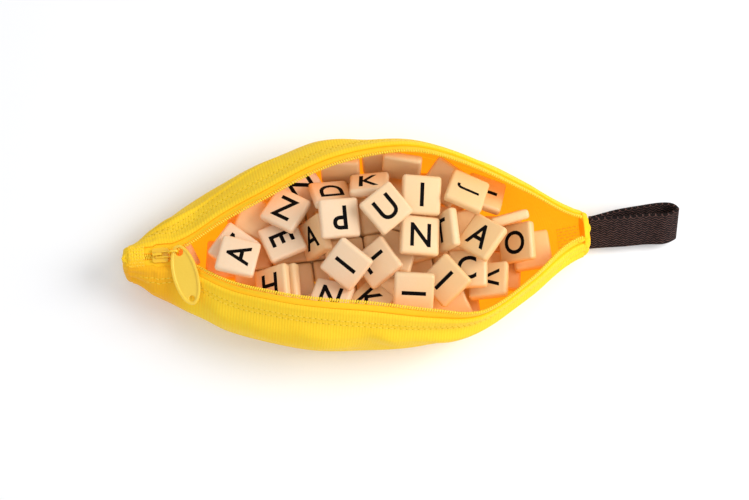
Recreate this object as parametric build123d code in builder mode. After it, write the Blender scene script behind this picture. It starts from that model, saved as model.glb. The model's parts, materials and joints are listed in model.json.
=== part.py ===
from build123d import *
from math import cos, radians, sin, sqrt
import os

os.makedirs("parts", exist_ok=True)

# A banana-shaped cloth pouch lying open on a table, full of letter tiles.
# X runs along the pouch from the zip slider's end to the strap's end, +Y is the
# far side and +Z is up.  The origin is the middle of the flat underside.
# All sizes are in millimetres and all angles in degrees.

# ---- pouch ----
pouch_length = 227.0        # between the two gathered ends
pouch_half_width = 52.0     # at the fattest part, to the outside of the cloth
cloth_thickness = 1.2
lap_gap = 0.2               # between the zip tape and the panel sewn over it
base_half_width = 34.0      # flat underside at the middle
seam_share = 0.2            # place of the bottom seam, as a share from belly to base
belly_height = 19.0         # height of the fattest part at the middle
end_belly_height = 13.0
end_base_height = 6.0       # how far the ends stand off the table
flat_depth = 0.15           # pressed flat where the pouch stands
station_count = 17          # cross-sections from end to end
curve_steps = 24            # straight pieces in each curve of a cross-section
panel_rows = 6              # points down a cross-section of a side panel
bottom_rows = 4             # and of each side of the bottom panel
tape_rows = 4               # and of a zip tape, beyond its straight edge
cap_rows = 7                # and of each side of a gathered end
wall_rows = 19              # and of the wall that the tiles lie against

# How full the cloth's curve is: shares of the way from mouth to belly, where it
# hangs slack at the middle and where it is pulled taut at the ends.
shoulder_reach = 0.45
slack_drop = 0.12
taut_drop = 0.34
slack_pull = 0.55
taut_pull = 0.25
opening_length = 14.0       # the tape lies flat at the slider and tips over this length

# Nine evenly spaced places from the left end to the right end: the belly's
# half width as a share of the pouch's half width, near side and far side.
belly_near = (0.20, 0.52, 0.80, 0.96, 1.00, 0.99, 0.89, 0.55, 0.21)
belly_far = (0.20, 0.52, 0.79, 0.95, 1.00, 0.96, 0.79, 0.52, 0.20)

# Nine evenly spaced places from the slider's nose to the right end: the open
# mouth's half width as a share of the belly's half width, and its height.
mouth_near = (0.12, 0.47, 0.60, 0.68, 0.76, 0.88, 1.00, 0.96, 0.60)
mouth_far = (0.12, 0.40, 0.54, 0.69, 0.78, 0.83, 0.80, 0.72, 0.60)
mouth_height = (27.0, 33.0, 40.5, 45.5, 47.5, 47.0, 42.0, 34.0, 25.0)

# ---- zip ----
tape_thickness = 0.8
tape_width = 11.0
tape_shown = 7.0            # bare tape between the coil and the panel's edge
tape_edge = 1.5             # straight stretch of tape beside the teeth
tooth_pitch = 1.9
tooth_width = 0.7           # along the zip
tooth_reach = 1.9           # out from the tape's edge
tooth_height = 1.5
tooth_seat = 0.1            # gap between a tooth and the tape's edge
mesh_depth = 0.6            # how far closed teeth reach past each other

# ---- slider, link and pull tab ----
slider_length = 8.0
slider_left = -101.5        # left edge of the slider, at rest
slider_plate = 0.9
slider_clearance = 0.3      # round the chain inside the slider
slider_flange = 0.6
slider_corner = 1.2
post_length = 2.2           # wedge that parts the chain, at the slider's nose
post_width = 1.0
parting_ramp = 2.0          # length over which the chain opens
bridge_width = 1.2
bridge_bar = 0.8
bridge_gap = 1.5            # height of the arch that the link turns in
bridge_length = 4.4
bridge_inset = 0.5
slider_travel = 3.5
link_thickness = 1.0
link_bar = 0.8
link_side_gap = 0.3         # between the bridge and the link's loop
link_loop_length = 8.0
link_lift = 0.2             # between the slider's top and the link
ring_inside = 3.4
ring_height = 4.6           # room inside the ring for the tab to turn
ring_wall = 0.9
ring_corner = 1.55          # inside the ring
ring_rise = 2.4             # middle of the ring over the middle of the link
ring_clearance = 0.5        # between the ring and the edge of the tab
tab_length = 30.5
tab_width = 13.0
tab_thickness = 1.4
tab_rim_width = 1.3
tab_rim_height = 0.4
tab_eye_radius = 2.0
tab_eye_wall = 1.4
tab_hole_radius = 1.5
tab_hole_wall = 1.7
tab_yaw = -78.0             # direction that the tab points, from +X
tab_roll = 14.0
tab_clearance = 0.7         # between the tab and the cloth under it
steepest_pitch = 40.0       # the tab is lifted from this pitch until it clears the cloth
pitch_step = 0.5
tab_points = 15             # places along the tab where its clearance is measured

# ---- ends and strap ----
end_cap_length = 3.0
end_cap_sizes = ((0, 1.0), (0.6, 0.93), (1, 0.72))      # shares of its length and of its root
zip_patch_length = 8.0
zip_patch_width = 11.0
patch_thickness = 1.0
patch_gap = 0.2
tack_length = 12.0
tack_width = 11.0
tack_slope = 28.0
strap_width = 20.0
strap_thickness = 1.5
strap_length = 46.0         # from the sewn end to the far end of the loop
strap_bow = 5.5             # how far the far side of the loop stands off
strap_lean = 31.0           # the webbing's lean from upright
strap_foot = 0.6            # the lowest edge's height over the table
strap_gap = 0.3
strap_points = 25           # points that the band's inner face is drawn through
strap_sewn = 0.04           # share of the band at each end that is sewn together

# Places round the outside of the strap's loop, from its sewn near end to its
# sewn far end: shares of its length, and of its thickness and bow sideways.
strap_shape = (
    (0.34, -1.0, 0.0),
    (0.62, -0.7, 0.0),
    (0.84, -1.3, 0.0),
    (0.97, 0.0, 0.1),
    (1.0, 0.0, 0.55),
    (0.94, 1.0, 1.0),
    (0.80, 1.7, 1.0),
    (0.55, 0.6, 1.0),
    (0.28, 1.0, 0.6),
)

# ---- tiles ----
tile_side = 19.5
tile_thickness = 4.8
tile_corner = 1.6
tile_gap = 0.3              # least gap between two tiles
wall_gap = 0.6              # least gap between a tile and the cloth
end_room = 13.0             # free of tiles at each end, where the cloth narrows
buried_gap = 0.5            # between neighbours in a buried layer
buried_depth = 40.0         # height that the buried layers fill, at the middle
buried_turns = (4, -7, 12, 28, -20)     # turns tried for a layer, in degrees
buried_shifts = (0.0, 0.33, 0.66)       # places tried, as shares of the spacing

# What shows in the mouth: the middle of each tile (x, y, z) as the heap lies
# before it is packed, the direction that its letter's top points, how far its
# face is tilted, and the compass direction that the face leans towards.
loose_tiles = (
    ("end_shard", -83, -1, 14, 114, 46, 204),
    ("end_n", -76, 0, 24, 133, 22, 330),
    ("far_n", -65, 14, 28, 51, 8, 300),
    ("gap_a", -55, 7, 24, 20, 12, 60),
    ("gap_b", -49, 17, 27, 62, 14, 290),
    ("turned_e", -39, 1, 30, 20, 12, 100),
    ("big_a", -57, -9, 33, 164, 18, 55),
    ("under_a", -61, -9, 22, 40, 14, 250),
    ("low_h", -43, -18, 32, 92, 36, 176),
    ("strip_h", -38, -19, 27, 92, 38, 176),
    ("fan_z", -32, 18, 38, 56, 14, 110),
    ("far_z", -23, 35, 24, 30, 15, 300),
    ("corner_a", -31, -11, 24, 153, 24, 330),
    ("steep_a", -24, 6, 35, 100, 56, 190),
    ("far_d", -13, 22, 34, 188, 42, 82),
    ("rim_a", -9, 38, 29, 355, 76, 264),
    ("leaning_k", 8, 27, 37, 88, 48, 94),
    ("rim_b", 15, 43, 27, 358, 76, 266),
    ("rim_c", 30, 34, 33, 346, 76, 256),
    ("upturned_p", -8, 8, 46, 272, 12, 320),
    ("under_p", -12, 19, 28, 65, 10, 210),
    ("top_u", 15, 10, 48, 126, 8, 300),
    ("under_u", 11, 6, 38, 15, 12, 240),
    ("under_k", -2, 26, 28, 40, 12, 100),
    ("top_i", 34, 16, 45, 84, 13, 320),
    ("under_i", 40, 14, 30, 60, 14, 20),
    ("leaning_i", -6, -15, 45, 136, 28, 235),
    ("side_i", -16, -8, 28, 20, 18, 150),
    ("flat_l", 11, -13, 41, 31, 22, 192),
    ("under_l", 18, -13, 30, 75, 16, 300),
    ("low_n", -15, -31, 35, 69, 20, 100),
    ("low_k", 5, -33, 31, 40, 22, 120),
    ("low_o", 15, -27, 27, 75, 18, 60),
    ("tall_n", 31, -4, 44, 84, 14, 350),
    ("steep_t", 44, 1, 37, 92, 60, 182),
    ("far_j", 55, 17, 38, 336, 26, 45),
    ("far_bar", 60, 26, 28, 160, 26, 50),
    ("tip_a", 48, 33, 28, 50, 30, 250),
    ("rim_d", 75, 10, 28, 102, 74, 102),
    ("round_o", 79, -1, 23, 88, 38, 185),
    ("under_o", 77, -6, 20, 60, 14, 200),
    ("slant_a", 61, -6, 38, 50, 24, 150),
    ("low_c", 52, -18, 34, 85, 16, 170),
    ("low_v", 63, -23, 31, 355, 26, 130),
    ("under_v", 69, -23, 22, 60, 12, 150),
    ("slant_i", 40, -24, 42, 37, 22, 205),
    ("near_i", 26, -30, 42, 353, 30, 264),
    ("near_flat", 43, -35, 24, 20, 16, 255),
)
lower_tiles = ("gap", "under", "corner", "side")    # names of those that lie under others
heap_rise = 9.0             # how far the heap may stand over the mouth's edge
easing_rounds = 160         # rounds of easing tiles apart while they keep near their places
parting_rounds = 600        # further rounds, until none touch
place_hold = 0.04           # how strongly a tile keeps to its place while it is eased
slip_step = 0.7             # steps of lowering a tile until it finds room
settling_rounds = 5         # times that the whole heap is let down
least_move = 0.005          # smaller moves than this don't count
nearly_level = 1e-6         # a direction with less rise than this is level

# ---- worked out from the sizes above ----
half_length = pouch_length / 2
lap_depth = tape_thickness / 2 + lap_gap
panel_outside = lap_depth + cloth_thickness
slider_right = slider_left + slider_length
chain_height = mouth_height[0]
closed_edge = tooth_reach + tooth_seat - mesh_depth / 2
parted_edge = tooth_reach + tooth_seat + post_width / 2 + slider_clearance
parting_x = slider_left + slider_length - post_length - slider_travel - slider_clearance
near, far = -1, 1


def smooth(values, share):
    # a smooth curve through evenly spaced values, read at a share of its length
    spans = len(values) - 1
    place = min(max(share, 0.0), 1.0) * spans
    first = min(int(place), spans - 1)
    step = place - first
    before = values[max(first - 1, 0)]
    start = values[first]
    end = values[first + 1]
    after = values[min(first + 2, spans)]
    bend = 2 * before - 5 * start + 4 * end - after
    twist = 3 * (start - end) + after - before
    return start + 0.5 * step * (end - before + step * (bend + step * twist))


def belly_at(x, side):
    share = (x + half_length) / pouch_length
    widths = belly_far if side == far else belly_near
    return smooth(widths, share) * pouch_half_width - panel_outside


def belly_height_at(x):
    middle = 1 - (x / half_length) ** 2
    return end_belly_height + (belly_height - end_belly_height) * middle


def base_height_at(x):
    rise = end_base_height * abs(x / half_length) ** 6
    return panel_outside - flat_depth + rise


def base_at(x, side):
    return belly_at(x, side) * base_half_width / pouch_half_width


def mouth_share(x):
    return (x - slider_right) / (half_length - slider_right)


def mouth_at(x, side):
    # half width of the mouth, at the edge of the zip tape
    if x <= slider_right:
        opened = (x - parting_x) / parting_ramp + 1
        opened = min(max(opened, 0.0), 1.0)
        return closed_edge + opened * (parted_edge - closed_edge)
    widths = mouth_far if side == far else mouth_near
    share = smooth(widths, mouth_share(x))
    return max(share * belly_at(x, side), parted_edge)


def mouth_height_at(x):
    return smooth(mouth_height, mouth_share(x))


def bezier(points, t):
    a, b, c, d = points
    s = 1 - t
    weights = (s * s * s, 3 * s * s * t, 3 * s * t * t, t * t * t)
    return sum((p * w for p, w in zip((a, b, c, d), weights)), Vector(0, 0))


def wall_curves(x, side):
    # the cloth's middle line from the mouth down to the belly, and from there
    # to the edge of the flat base, both seen along X with +Y as the first axis
    belly = Vector(belly_at(x, side), belly_height_at(x))
    mouth = Vector(mouth_at(x, side), mouth_height_at(x))
    base = Vector(base_at(x, side), base_height_at(x))
    reach = belly - mouth
    tautness = (x / half_length) ** 2
    opened = min(max((x - slider_right) / opening_length, 0.0), 1.0)
    shoulder_drop = opened * (slack_drop + tautness * (taut_drop - slack_drop))
    belly_pull = slack_pull + tautness * (taut_pull - slack_pull)
    shoulder = Vector(shoulder_reach * reach.X, shoulder_drop * reach.Y)
    edge = mouth + shoulder.normalized() * tape_edge
    upper = (
        edge,
        edge + shoulder,
        belly - Vector(0, belly_pull * reach.Y),
        belly,
    )
    drop = belly.Y - base.Y
    lower = (
        belly,
        belly - Vector(0, slack_pull * drop),
        base + Vector(slack_pull * (belly.X - base.X), 0),
        base,
    )
    return mouth, upper, lower


class Wall:
    # one side of the pouch at one place along X, measured down from the mouth
    def __init__(self, x, side):
        self.side = side
        mouth, upper, lower = wall_curves(x, side)
        steps = [step / curve_steps for step in range(curve_steps + 1)]
        self.line = [mouth] + [bezier(upper, t) for t in steps]
        self.line += [bezier(lower, t) for t in steps[1:]]
        self.down = [0.0]
        for last, this in zip(self.line, self.line[1:]):
            self.down.append(self.down[-1] + (this - last).length)
        self.belly_down = self.down[1 + curve_steps]
        self.base_down = self.down[-1]

    def at(self, down, depth=0.0):
        # the point this far down the wall and this deep inside its middle line
        span = 0
        while span < len(self.line) - 2 and self.down[span + 1] < down:
            span += 1
        start, end = self.line[span], self.line[span + 1]
        length = self.down[span + 1] - self.down[span]
        point = start + (end - start) * ((down - self.down[span]) / length)
        before = self.line[max(span - 1, 0)]
        after = self.line[min(span + 2, len(self.line) - 1)]
        along = (after - before).normalized()
        inward = Vector(-along.Y, along.X) * -1
        place = point + inward * depth
        return (self.side * place.X, place.Y)


def stations(first_x, last_x):
    # cross-sections between two places, with one at every bend of the mouth
    step = pouch_length / (station_count - 1)
    places = [-half_length + step * number for number in range(station_count)]
    places = [x for x in places if abs(x - slider_right) > step / 2]
    places += [parting_x - parting_ramp, parting_x, slider_right]
    inner = [x for x in places if first_x + 1 < x < last_x - 1]
    return [first_x] + sorted(inner) + [last_x]


def spread(start, end, count):
    return [start + (end - start) * number / (count - 1) for number in range(count)]


def outline(outside, inside):
    # a closed strip between two curves
    outer = Spline(*outside)
    inner = Spline(*inside)
    Line(outer @ 0, inner @ 0)
    Line(outer @ 1, inner @ 1)


def seam_down(wall):
    # where the side panel meets the bottom panel, just under the belly
    return wall.belly_down + seam_share * (wall.base_down - wall.belly_down)


def make_side_panel(side):
    with BuildPart() as panel:
        for x in stations(-half_length, half_length):
            wall = Wall(x, side)
            downs = spread(tape_shown, seam_down(wall), panel_rows)
            with BuildSketch(Plane.YZ.offset(x)):
                with BuildLine():
                    outline(
                        [wall.at(down, -panel_outside) for down in downs],
                        [wall.at(down, -lap_depth) for down in downs],
                    )
                make_face()
        loft(ruled=True)
    return panel


def make_tape(side):
    with BuildPart() as tape:
        for x in stations(-half_length, half_length):
            wall = Wall(x, side)
            downs = [0] + spread(tape_edge, tape_width, tape_rows)
            with BuildSketch(Plane.YZ.offset(x)):
                with BuildLine():
                    outline(
                        [wall.at(down, -tape_thickness / 2) for down in downs],
                        [wall.at(down, tape_thickness / 2) for down in downs],
                    )
                make_face()
        loft(ruled=True)
    return tape


side_panel_near = make_side_panel(near)
side_panel_far = make_side_panel(far)
zip_tape_near = make_tape(near)
zip_tape_far = make_tape(far)

with BuildPart() as bottom_panel:
    for x in stations(-half_length, half_length):
        near_wall = Wall(x, near)
        far_wall = Wall(x, far)
        near_downs = spread(seam_down(near_wall), near_wall.base_down, bottom_rows)
        far_downs = spread(far_wall.base_down, seam_down(far_wall), bottom_rows)
        with BuildSketch(Plane.YZ.offset(x)):
            with BuildLine():
                ends = []
                for depth in (-panel_outside, -lap_depth):
                    near_part = Spline(*[near_wall.at(down, depth) for down in near_downs])
                    far_part = Spline(*[far_wall.at(down, depth) for down in far_downs])
                    Line(near_part @ 1, far_part @ 0)
                    ends.append((near_part @ 0, far_part @ 1))
                Line(ends[0][0], ends[1][0])
                Line(ends[0][1], ends[1][1])
            make_face()
    loft(ruled=True)
    split(bisect_by=Plane.XY, keep=Keep.TOP)


# ---- zip teeth, along the edge of each tape ----
def mouth_frames(side):
    # evenly spaced places along the tape's edge, each with the directions of
    # the zip, of the tooth, and out of the cloth
    edge = []
    for x in stations(-half_length, half_length):
        wall = Wall(x, side)
        y, z = wall.at(0)
        inner_y, inner_z = wall.at(tape_edge)
        edge.append((Vector(x, y, z), Vector(0, y - inner_y, z - inner_z)))
    half_step = tooth_pitch / 2
    wanted = tooth_width if side == near else tooth_width + half_step
    frames = []
    travelled = 0.0
    for (start, start_out), (end, end_out) in zip(edge, edge[1:]):
        length = (end - start).length
        while wanted < travelled + length:
            share = (wanted - travelled) / length
            middle = start + (end - start) * share
            out = (start_out + (end_out - start_out) * share).normalized()
            if middle.X < half_length - tooth_height:
                frames.append((middle, end - start, out))
            wanted += tooth_pitch
        travelled += length
    return frames


def make_teeth(side):
    places = []
    for middle, along, out in mouth_frames(side):
        normal = along.cross(out)
        across = normal.cross(along).normalized()
        stand = tooth_seat + tooth_reach / 2
        place = Plane(middle + across * stand, x_dir=along, z_dir=normal)
        places.append(place.location)
    with BuildPart() as teeth:
        with Locations(*places):
            Box(tooth_width, tooth_reach, tooth_height)
    return teeth


zip_teeth_near = make_teeth(near)
zip_teeth_far = make_teeth(far)


# ---- gathered ends ----
def end_outline(x, share):
    # the pouch's outline at one end, drawn in towards its middle by a share
    middle_y, middle_z = 0.0, belly_height_at(x)
    sides = []
    for side in (near, far):
        wall = Wall(x, side)
        downs = spread(0, wall.base_down, cap_rows)
        points = [wall.at(down, -panel_outside) for down in downs]
        drawn = [
            (middle_y + share * (y - middle_y), middle_z + share * (z - middle_z))
            for y, z in points
        ]
        sides.append(drawn)
    near_side, far_side = sides
    near_curve = Spline(*near_side)
    far_curve = Spline(*far_side)
    Line(near_curve @ 0, far_curve @ 0)
    Line(near_curve @ 1, far_curve @ 1)


def make_end_cap(direction):
    root_x = direction * half_length
    with BuildPart() as cap:
        for step, share in end_cap_sizes:
            plane = Plane.YZ.offset(root_x + direction * step * end_cap_length)
            with BuildSketch(plane):
                with BuildLine():
                    end_outline(root_x, share)
                make_face()
        loft(ruled=True)
    return cap


left_end_gather = make_end_cap(-1)
right_end_gather = make_end_cap(1)

patch_height = chain_height + tooth_height / 2 + patch_gap
with BuildPart() as zip_end_patch:
    with BuildSketch(Plane.XY.offset(patch_height)):
        with Locations((-half_length + zip_patch_length / 2, 0)):
            RectangleRounded(zip_patch_length, zip_patch_width, slider_corner)
    extrude(amount=patch_thickness)

tack_turn = radians(tack_slope)
tack_right = half_length - patch_gap - patch_thickness * sin(tack_turn)
tack_left = tack_right - tack_length * cos(tack_turn)
tack_foot = base_height_at(tack_left) - lap_depth + patch_gap
tack_middle_x = (tack_left + tack_right) / 2
tack_middle_z = tack_foot + tack_length * sin(tack_turn) / 2
tack_plane = Plane(
    origin=(tack_middle_x, 0, tack_middle_z),
    x_dir=(cos(tack_turn), 0, sin(tack_turn)),
    z_dir=(-sin(tack_turn), 0, cos(tack_turn)),
)
with BuildPart() as strap_tack_patch:
    with BuildSketch(tack_plane):
        RectangleRounded(tack_length, tack_width, slider_corner)
    extrude(amount=patch_thickness)

# ---- slider ----
channel_half_height = tooth_height / 2 + slider_clearance
channel_half_width = parted_edge + slider_clearance
slider_width = 2 * (channel_half_width + slider_flange)
slider_middle = slider_left + slider_length / 2
slider_top = chain_height + channel_half_height + slider_plate
flange_depth = channel_half_height - tape_thickness / 2 - slider_clearance
bridge_left = slider_left + bridge_inset
bridge_middle = bridge_left + bridge_length / 2
with BuildPart() as slider:
    for bottom in (-channel_half_height - slider_plate, channel_half_height):
        with BuildSketch(Plane.XY.offset(chain_height + bottom)):
            with Locations((slider_middle, 0)):
                RectangleRounded(slider_length, slider_width, slider_corner)
        extrude(amount=slider_plate)
    with Locations((slider_right - post_length / 2, 0, chain_height)):
        Box(post_length, post_width, 2 * channel_half_height)
    flange_y = channel_half_width + slider_flange / 2
    flange_z = chain_height + channel_half_height - flange_depth / 2
    flange_length = slider_length - 2 * slider_corner
    with Locations((slider_middle, -flange_y, flange_z), (slider_middle, flange_y, flange_z)):
        Box(flange_length, slider_flange, flange_depth)
    with BuildSketch(Plane.XZ.offset(-bridge_width / 2)):
        with Locations((bridge_middle, slider_top)):
            Rectangle(
                bridge_length,
                bridge_gap + bridge_bar,
                align=(Align.CENTER, Align.MIN),
            )
            Rectangle(
                bridge_length - 2 * bridge_bar,
                bridge_gap,
                align=(Align.CENTER, Align.MIN),
                mode=Mode.SUBTRACT,
            )
    extrude(amount=bridge_width)

# ---- link between slider and pull tab ----
link_middle_z = slider_top + link_lift + link_thickness / 2
arch_left = bridge_left + bridge_bar
link_pin_x = arch_left + link_bar + (bridge_gap - link_bar) / 2 - link_bar / 2
link_left = link_pin_x - link_bar / 2
link_right = link_left + link_loop_length
link_width = bridge_width + 2 * (link_side_gap + link_bar)
ring_x = link_right - ring_wall / 2 + ring_inside / 2
ring_z = link_middle_z + ring_rise
with BuildPart() as pull_link:
    with BuildSketch(Plane.XY.offset(link_middle_z - link_thickness / 2)):
        with Locations(((link_left + link_right) / 2, 0)):
            RectangleRounded(link_loop_length, link_width, link_bar)
            Rectangle(
                link_loop_length - 2 * link_bar,
                bridge_width + 2 * link_side_gap,
                mode=Mode.SUBTRACT,
            )
    extrude(amount=link_thickness)
    with BuildSketch(Plane.XZ.offset(-link_thickness / 2)):
        with Locations((ring_x, ring_z)):
            RectangleRounded(
                ring_inside + 2 * ring_wall,
                ring_height + 2 * ring_wall,
                ring_inside / 2,
            )
            RectangleRounded(
                ring_inside,
                ring_height,
                ring_corner,
                mode=Mode.SUBTRACT,
            )
    extrude(amount=link_thickness)

# ---- pull tab, lying on the near side of the pouch ----
eye_outer = tab_eye_radius + tab_eye_wall
tab_neck = tab_width / 2 * sqrt(1 - (1 - 2 * eye_outer / tab_length) ** 2)
eye_x = ring_x - ring_inside / 2 + ring_clearance + tab_neck


def tab_axes(pitch):
    # the tab's own length, width and face directions at this downward pitch
    yaw, dip, roll = radians(tab_yaw), radians(pitch), radians(tab_roll)
    length = Vector(cos(yaw) * cos(dip), sin(yaw) * cos(dip), -sin(dip))
    level = Vector(-sin(yaw), cos(yaw), 0)
    face = length.cross(level)
    width = level * cos(roll) + face * sin(roll)
    return length, width, length.cross(width)


def cloth_top(x, y):
    # height of the cloth's outer face, or of the zip's teeth, under one point
    wall = Wall(x, far if y > 0 else near)
    edge_y, edge_z = wall.at(0, -tooth_height / 2)
    inner_y, inner_z = wall.at(tape_edge, -tooth_height / 2)
    reach = (tooth_seat + tooth_reach) / tape_edge
    tip = (edge_y + (edge_y - inner_y) * reach, edge_z + (edge_z - inner_z) * reach)
    points = [tip, (edge_y, edge_z), wall.at(tape_shown, -tape_thickness / 2)]
    downs = spread(tape_shown, wall.belly_down, 2 * panel_rows)
    points += [wall.at(down, -panel_outside) for down in downs]
    for (start_y, start_z), (end_y, end_z) in zip(points, points[1:]):
        if wall.side * start_y <= wall.side * y <= wall.side * end_y:
            return start_z + (end_z - start_z) * (y - start_y) / (end_y - start_y)
    return 0.0


def tab_clears(pitch):
    # true where the tab's underside stays off the cloth of the near side
    length, width, face = tab_axes(pitch)
    eye = Vector(eye_x, 0, ring_z)
    for along in spread(0, tab_length - eye_outer, tab_points):
        middle_share = (along + eye_outer) / tab_length * 2 - 1
        half = tab_width / 2 * sqrt(max(1 - middle_share ** 2, 0.0))
        for across in spread(-half, half, tab_points // 2):
            point = eye + length * along + width * across - face * (tab_thickness / 2)
            if point.Z < cloth_top(point.X, point.Y) + tab_clearance:
                return False
    return True


tab_pitch = steepest_pitch
while not tab_clears(tab_pitch):
    tab_pitch -= pitch_step
tab_length_axis, tab_width_axis, tab_face_axis = tab_axes(tab_pitch)
tab_plane = Plane(
    origin=(eye_x, 0, ring_z),
    x_dir=tab_length_axis,
    z_dir=tab_face_axis,
)
tab_hole_x = tab_length - eye_outer - tab_hole_wall - tab_hole_radius


def tab_shape(inset, mode=Mode.ADD):
    # the oval with its eye, drawn in from the tab's edge by an inset
    Circle(eye_outer - inset, mode=mode)
    with Locations((tab_length / 2 - eye_outer, 0)):
        Ellipse(tab_length / 2 - inset, tab_width / 2 - inset, mode=mode)


with BuildPart() as pull_tab:
    with BuildSketch(tab_plane.offset(-tab_thickness / 2)):
        tab_shape(0)
    extrude(amount=tab_thickness)
    with BuildSketch(tab_plane.offset(tab_thickness / 2)):
        tab_shape(0)
        tab_shape(tab_rim_width, Mode.SUBTRACT)
    extrude(amount=tab_rim_height)
    with BuildSketch(tab_plane):
        Circle(tab_eye_radius)
        with Locations((tab_hole_x, 0)):
            Circle(tab_hole_radius)
    extrude(amount=tab_thickness, both=True, mode=Mode.SUBTRACT)

# ---- strap: a band of webbing folded into a loop, standing on its edge ----
lean = radians(strap_lean)
strap_root_x = half_length + end_cap_length + strap_gap
strap_drop = strap_width * cos(lean) / 2
strap_deepest = (strap_bow + 2 * strap_thickness) * sin(lean)
strap_middle_z = strap_foot + strap_drop + strap_deepest
strap_plane = Plane(
    origin=(strap_root_x, 0, strap_middle_z),
    x_dir=(1, 0, 0),
    z_dir=(0, sin(lean), cos(lean)),
)
with BuildPart() as strap_loop:
    with BuildSketch(strap_plane.offset(-strap_width / 2)):
        with BuildLine():
            # once round the loop, from the sewn end's near edge to its far edge
            round_the_loop = Spline(
                (strap_thickness, -strap_thickness),
                *[
                    (along * strap_length, thick * strap_thickness + bow * strap_bow)
                    for along, thick, bow in strap_shape
                ],
                (strap_thickness, strap_thickness),
            )
            ThreePointArc(round_the_loop @ 1, (0, 0), round_the_loop @ 0)
        make_face()
        with BuildLine():
            inner_points = []
            for place in spread(strap_sewn, 1 - strap_sewn, strap_points):
                along = round_the_loop % place
                inward = Vector(-along.Y, along.X)
                inner_points.append((round_the_loop @ place) + inward * strap_thickness)
            inside_the_loop = Spline(*inner_points)
            Line(inside_the_loop @ 1, inside_the_loop @ 0)
        make_face(mode=Mode.SUBTRACT)
    extrude(amount=strap_width)


# ---- tiles ----
def dot(a, b):
    return a[0] * b[0] + a[1] * b[1] + a[2] * b[2]


def cross(a, b):
    return (
        a[1] * b[2] - a[2] * b[1],
        a[2] * b[0] - a[0] * b[2],
        a[0] * b[1] - a[1] * b[0],
    )


class Tile:
    # a square tile: its middle, and the directions of its right side, its top
    # side and its face
    halves = (tile_side / 2, tile_side / 2, tile_thickness / 2)
    slant = sqrt(0.5)

    def __init__(self, x, y, z, turn, tilt=0.0, lean_towards=0.0):
        self.middle = [x, y, z]
        tipped_by, towards, turned = radians(tilt), radians(lean_towards), radians(turn)
        lean_x, lean_y = cos(towards), sin(towards)
        along = cos(turned - towards)
        across = sin(turned - towards)
        self.face = (lean_x * sin(tipped_by), lean_y * sin(tipped_by), cos(tipped_by))
        self.top = (
            along * lean_x * cos(tipped_by) - across * lean_y,
            along * lean_y * cos(tipped_by) + across * lean_x,
            -along * sin(tipped_by),
        )
        self.right = cross(self.top, self.face)
        self.axes = (self.right, self.top, self.face)
        self.slants = (
            tuple(self.slant * (a + b) for a, b in zip(self.right, self.top)),
            tuple(self.slant * (a - b) for a, b in zip(self.right, self.top)),
        )
        self.spot = (x, y, z)

    def reach(self, direction, corner=0.0):
        # from the middle to the tile's outermost point in this direction
        across, up, out = [abs(dot(axis, direction)) for axis in self.axes]
        half = tile_side / 2
        flat = half * max(across, up) + (half - corner) * min(across, up)
        return flat + tile_thickness / 2 * out

    def rim_points(self):
        # points round the edges of both faces, with the corners cut
        cut = 1 - 2 * tile_corner / tile_side
        quarter = ((1, 0), (1, cut), (cut, 1))
        around = [
            point
            for i, j in quarter
            for point in ((i, j), (-j, i), (-i, -j), (j, -i))
        ]
        across, up, out = [
            [part * half for part in axis] for half, axis in zip(self.halves, self.axes)
        ]
        x, y, z = self.middle
        return [
            (
                x + i * across[0] + j * up[0] + k * out[0],
                y + i * across[1] + j * up[1] + k * out[1],
                z + i * across[2] + j * up[2] + k * out[2],
            )
            for i, j in around for k in (-1, 1)
        ]


def parting_directions(tile, other, corner=0.0):
    # the directions that can part two tiles, with how far apart their middles
    # must be along each; the cut corners count where their size is given
    tile_axes = tile.axes + tile.slants if corner else tile.axes
    other_axes = other.axes + other.slants if corner else other.axes
    directions = list(tile_axes) + list(other_axes)
    directions += [cross(a, b) for a in tile_axes for b in other_axes]
    limits = []
    for direction in directions:
        length = sqrt(dot(direction, direction))
        if length > 2 * least_move:
            unit = tuple(part / length for part in direction)
            reaches = tile.reach(unit, corner) + other.reach(unit, corner)
            limits.append((unit, reaches + tile_gap))
    return limits


def near_enough(tile, other):
    reach = tile_side * sqrt(2) + tile_thickness
    return all(abs(a - b) < reach for a, b in zip(tile.middle, other.middle))


def least_overlap(tile, other, limits):
    # how far the two overlap and along which direction, or None where they don't
    apart = [a - b for a, b in zip(tile.middle, other.middle)]
    least = None
    for unit, limit in limits:
        along = dot(apart, unit)
        overlap = limit - abs(along)
        if overlap <= 0:
            return None
        if least is None or overlap < least[0]:
            least = (overlap, unit, 1 if along >= 0 else -1)
    return least


inside_walls = {}


def inside_half_width(x, z, side):
    # room between the middle and the cloth's inner face at this height, or the
    # mouth's, above it
    key = (round(x), side)
    if key not in inside_walls:
        wall = Wall(min(max(key[0], -half_length), half_length), side)
        downs = spread(0, wall.base_down, wall_rows)
        points = [wall.at(down, tape_thickness / 2) for down in downs]
        mouth_y, mouth_z = points[0]
        edge_y = mouth_y - side * (tooth_reach + tooth_seat)
        inside_walls[key] = [(edge_y, mouth_z - tooth_height / 2)] + points[1:]
    points = inside_walls[key]
    if z >= points[0][1]:
        return side * points[0][0]
    for (upper_y, upper_z), (lower_y, lower_z) in zip(points, points[1:]):
        if lower_z <= z and upper_z > lower_z:
            share = (z - lower_z) / (upper_z - lower_z)
            return side * (lower_y + share * (upper_y - lower_y))
    return side * points[-1][0]


def floor_height(x):
    return base_height_at(x) - lap_depth


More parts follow.
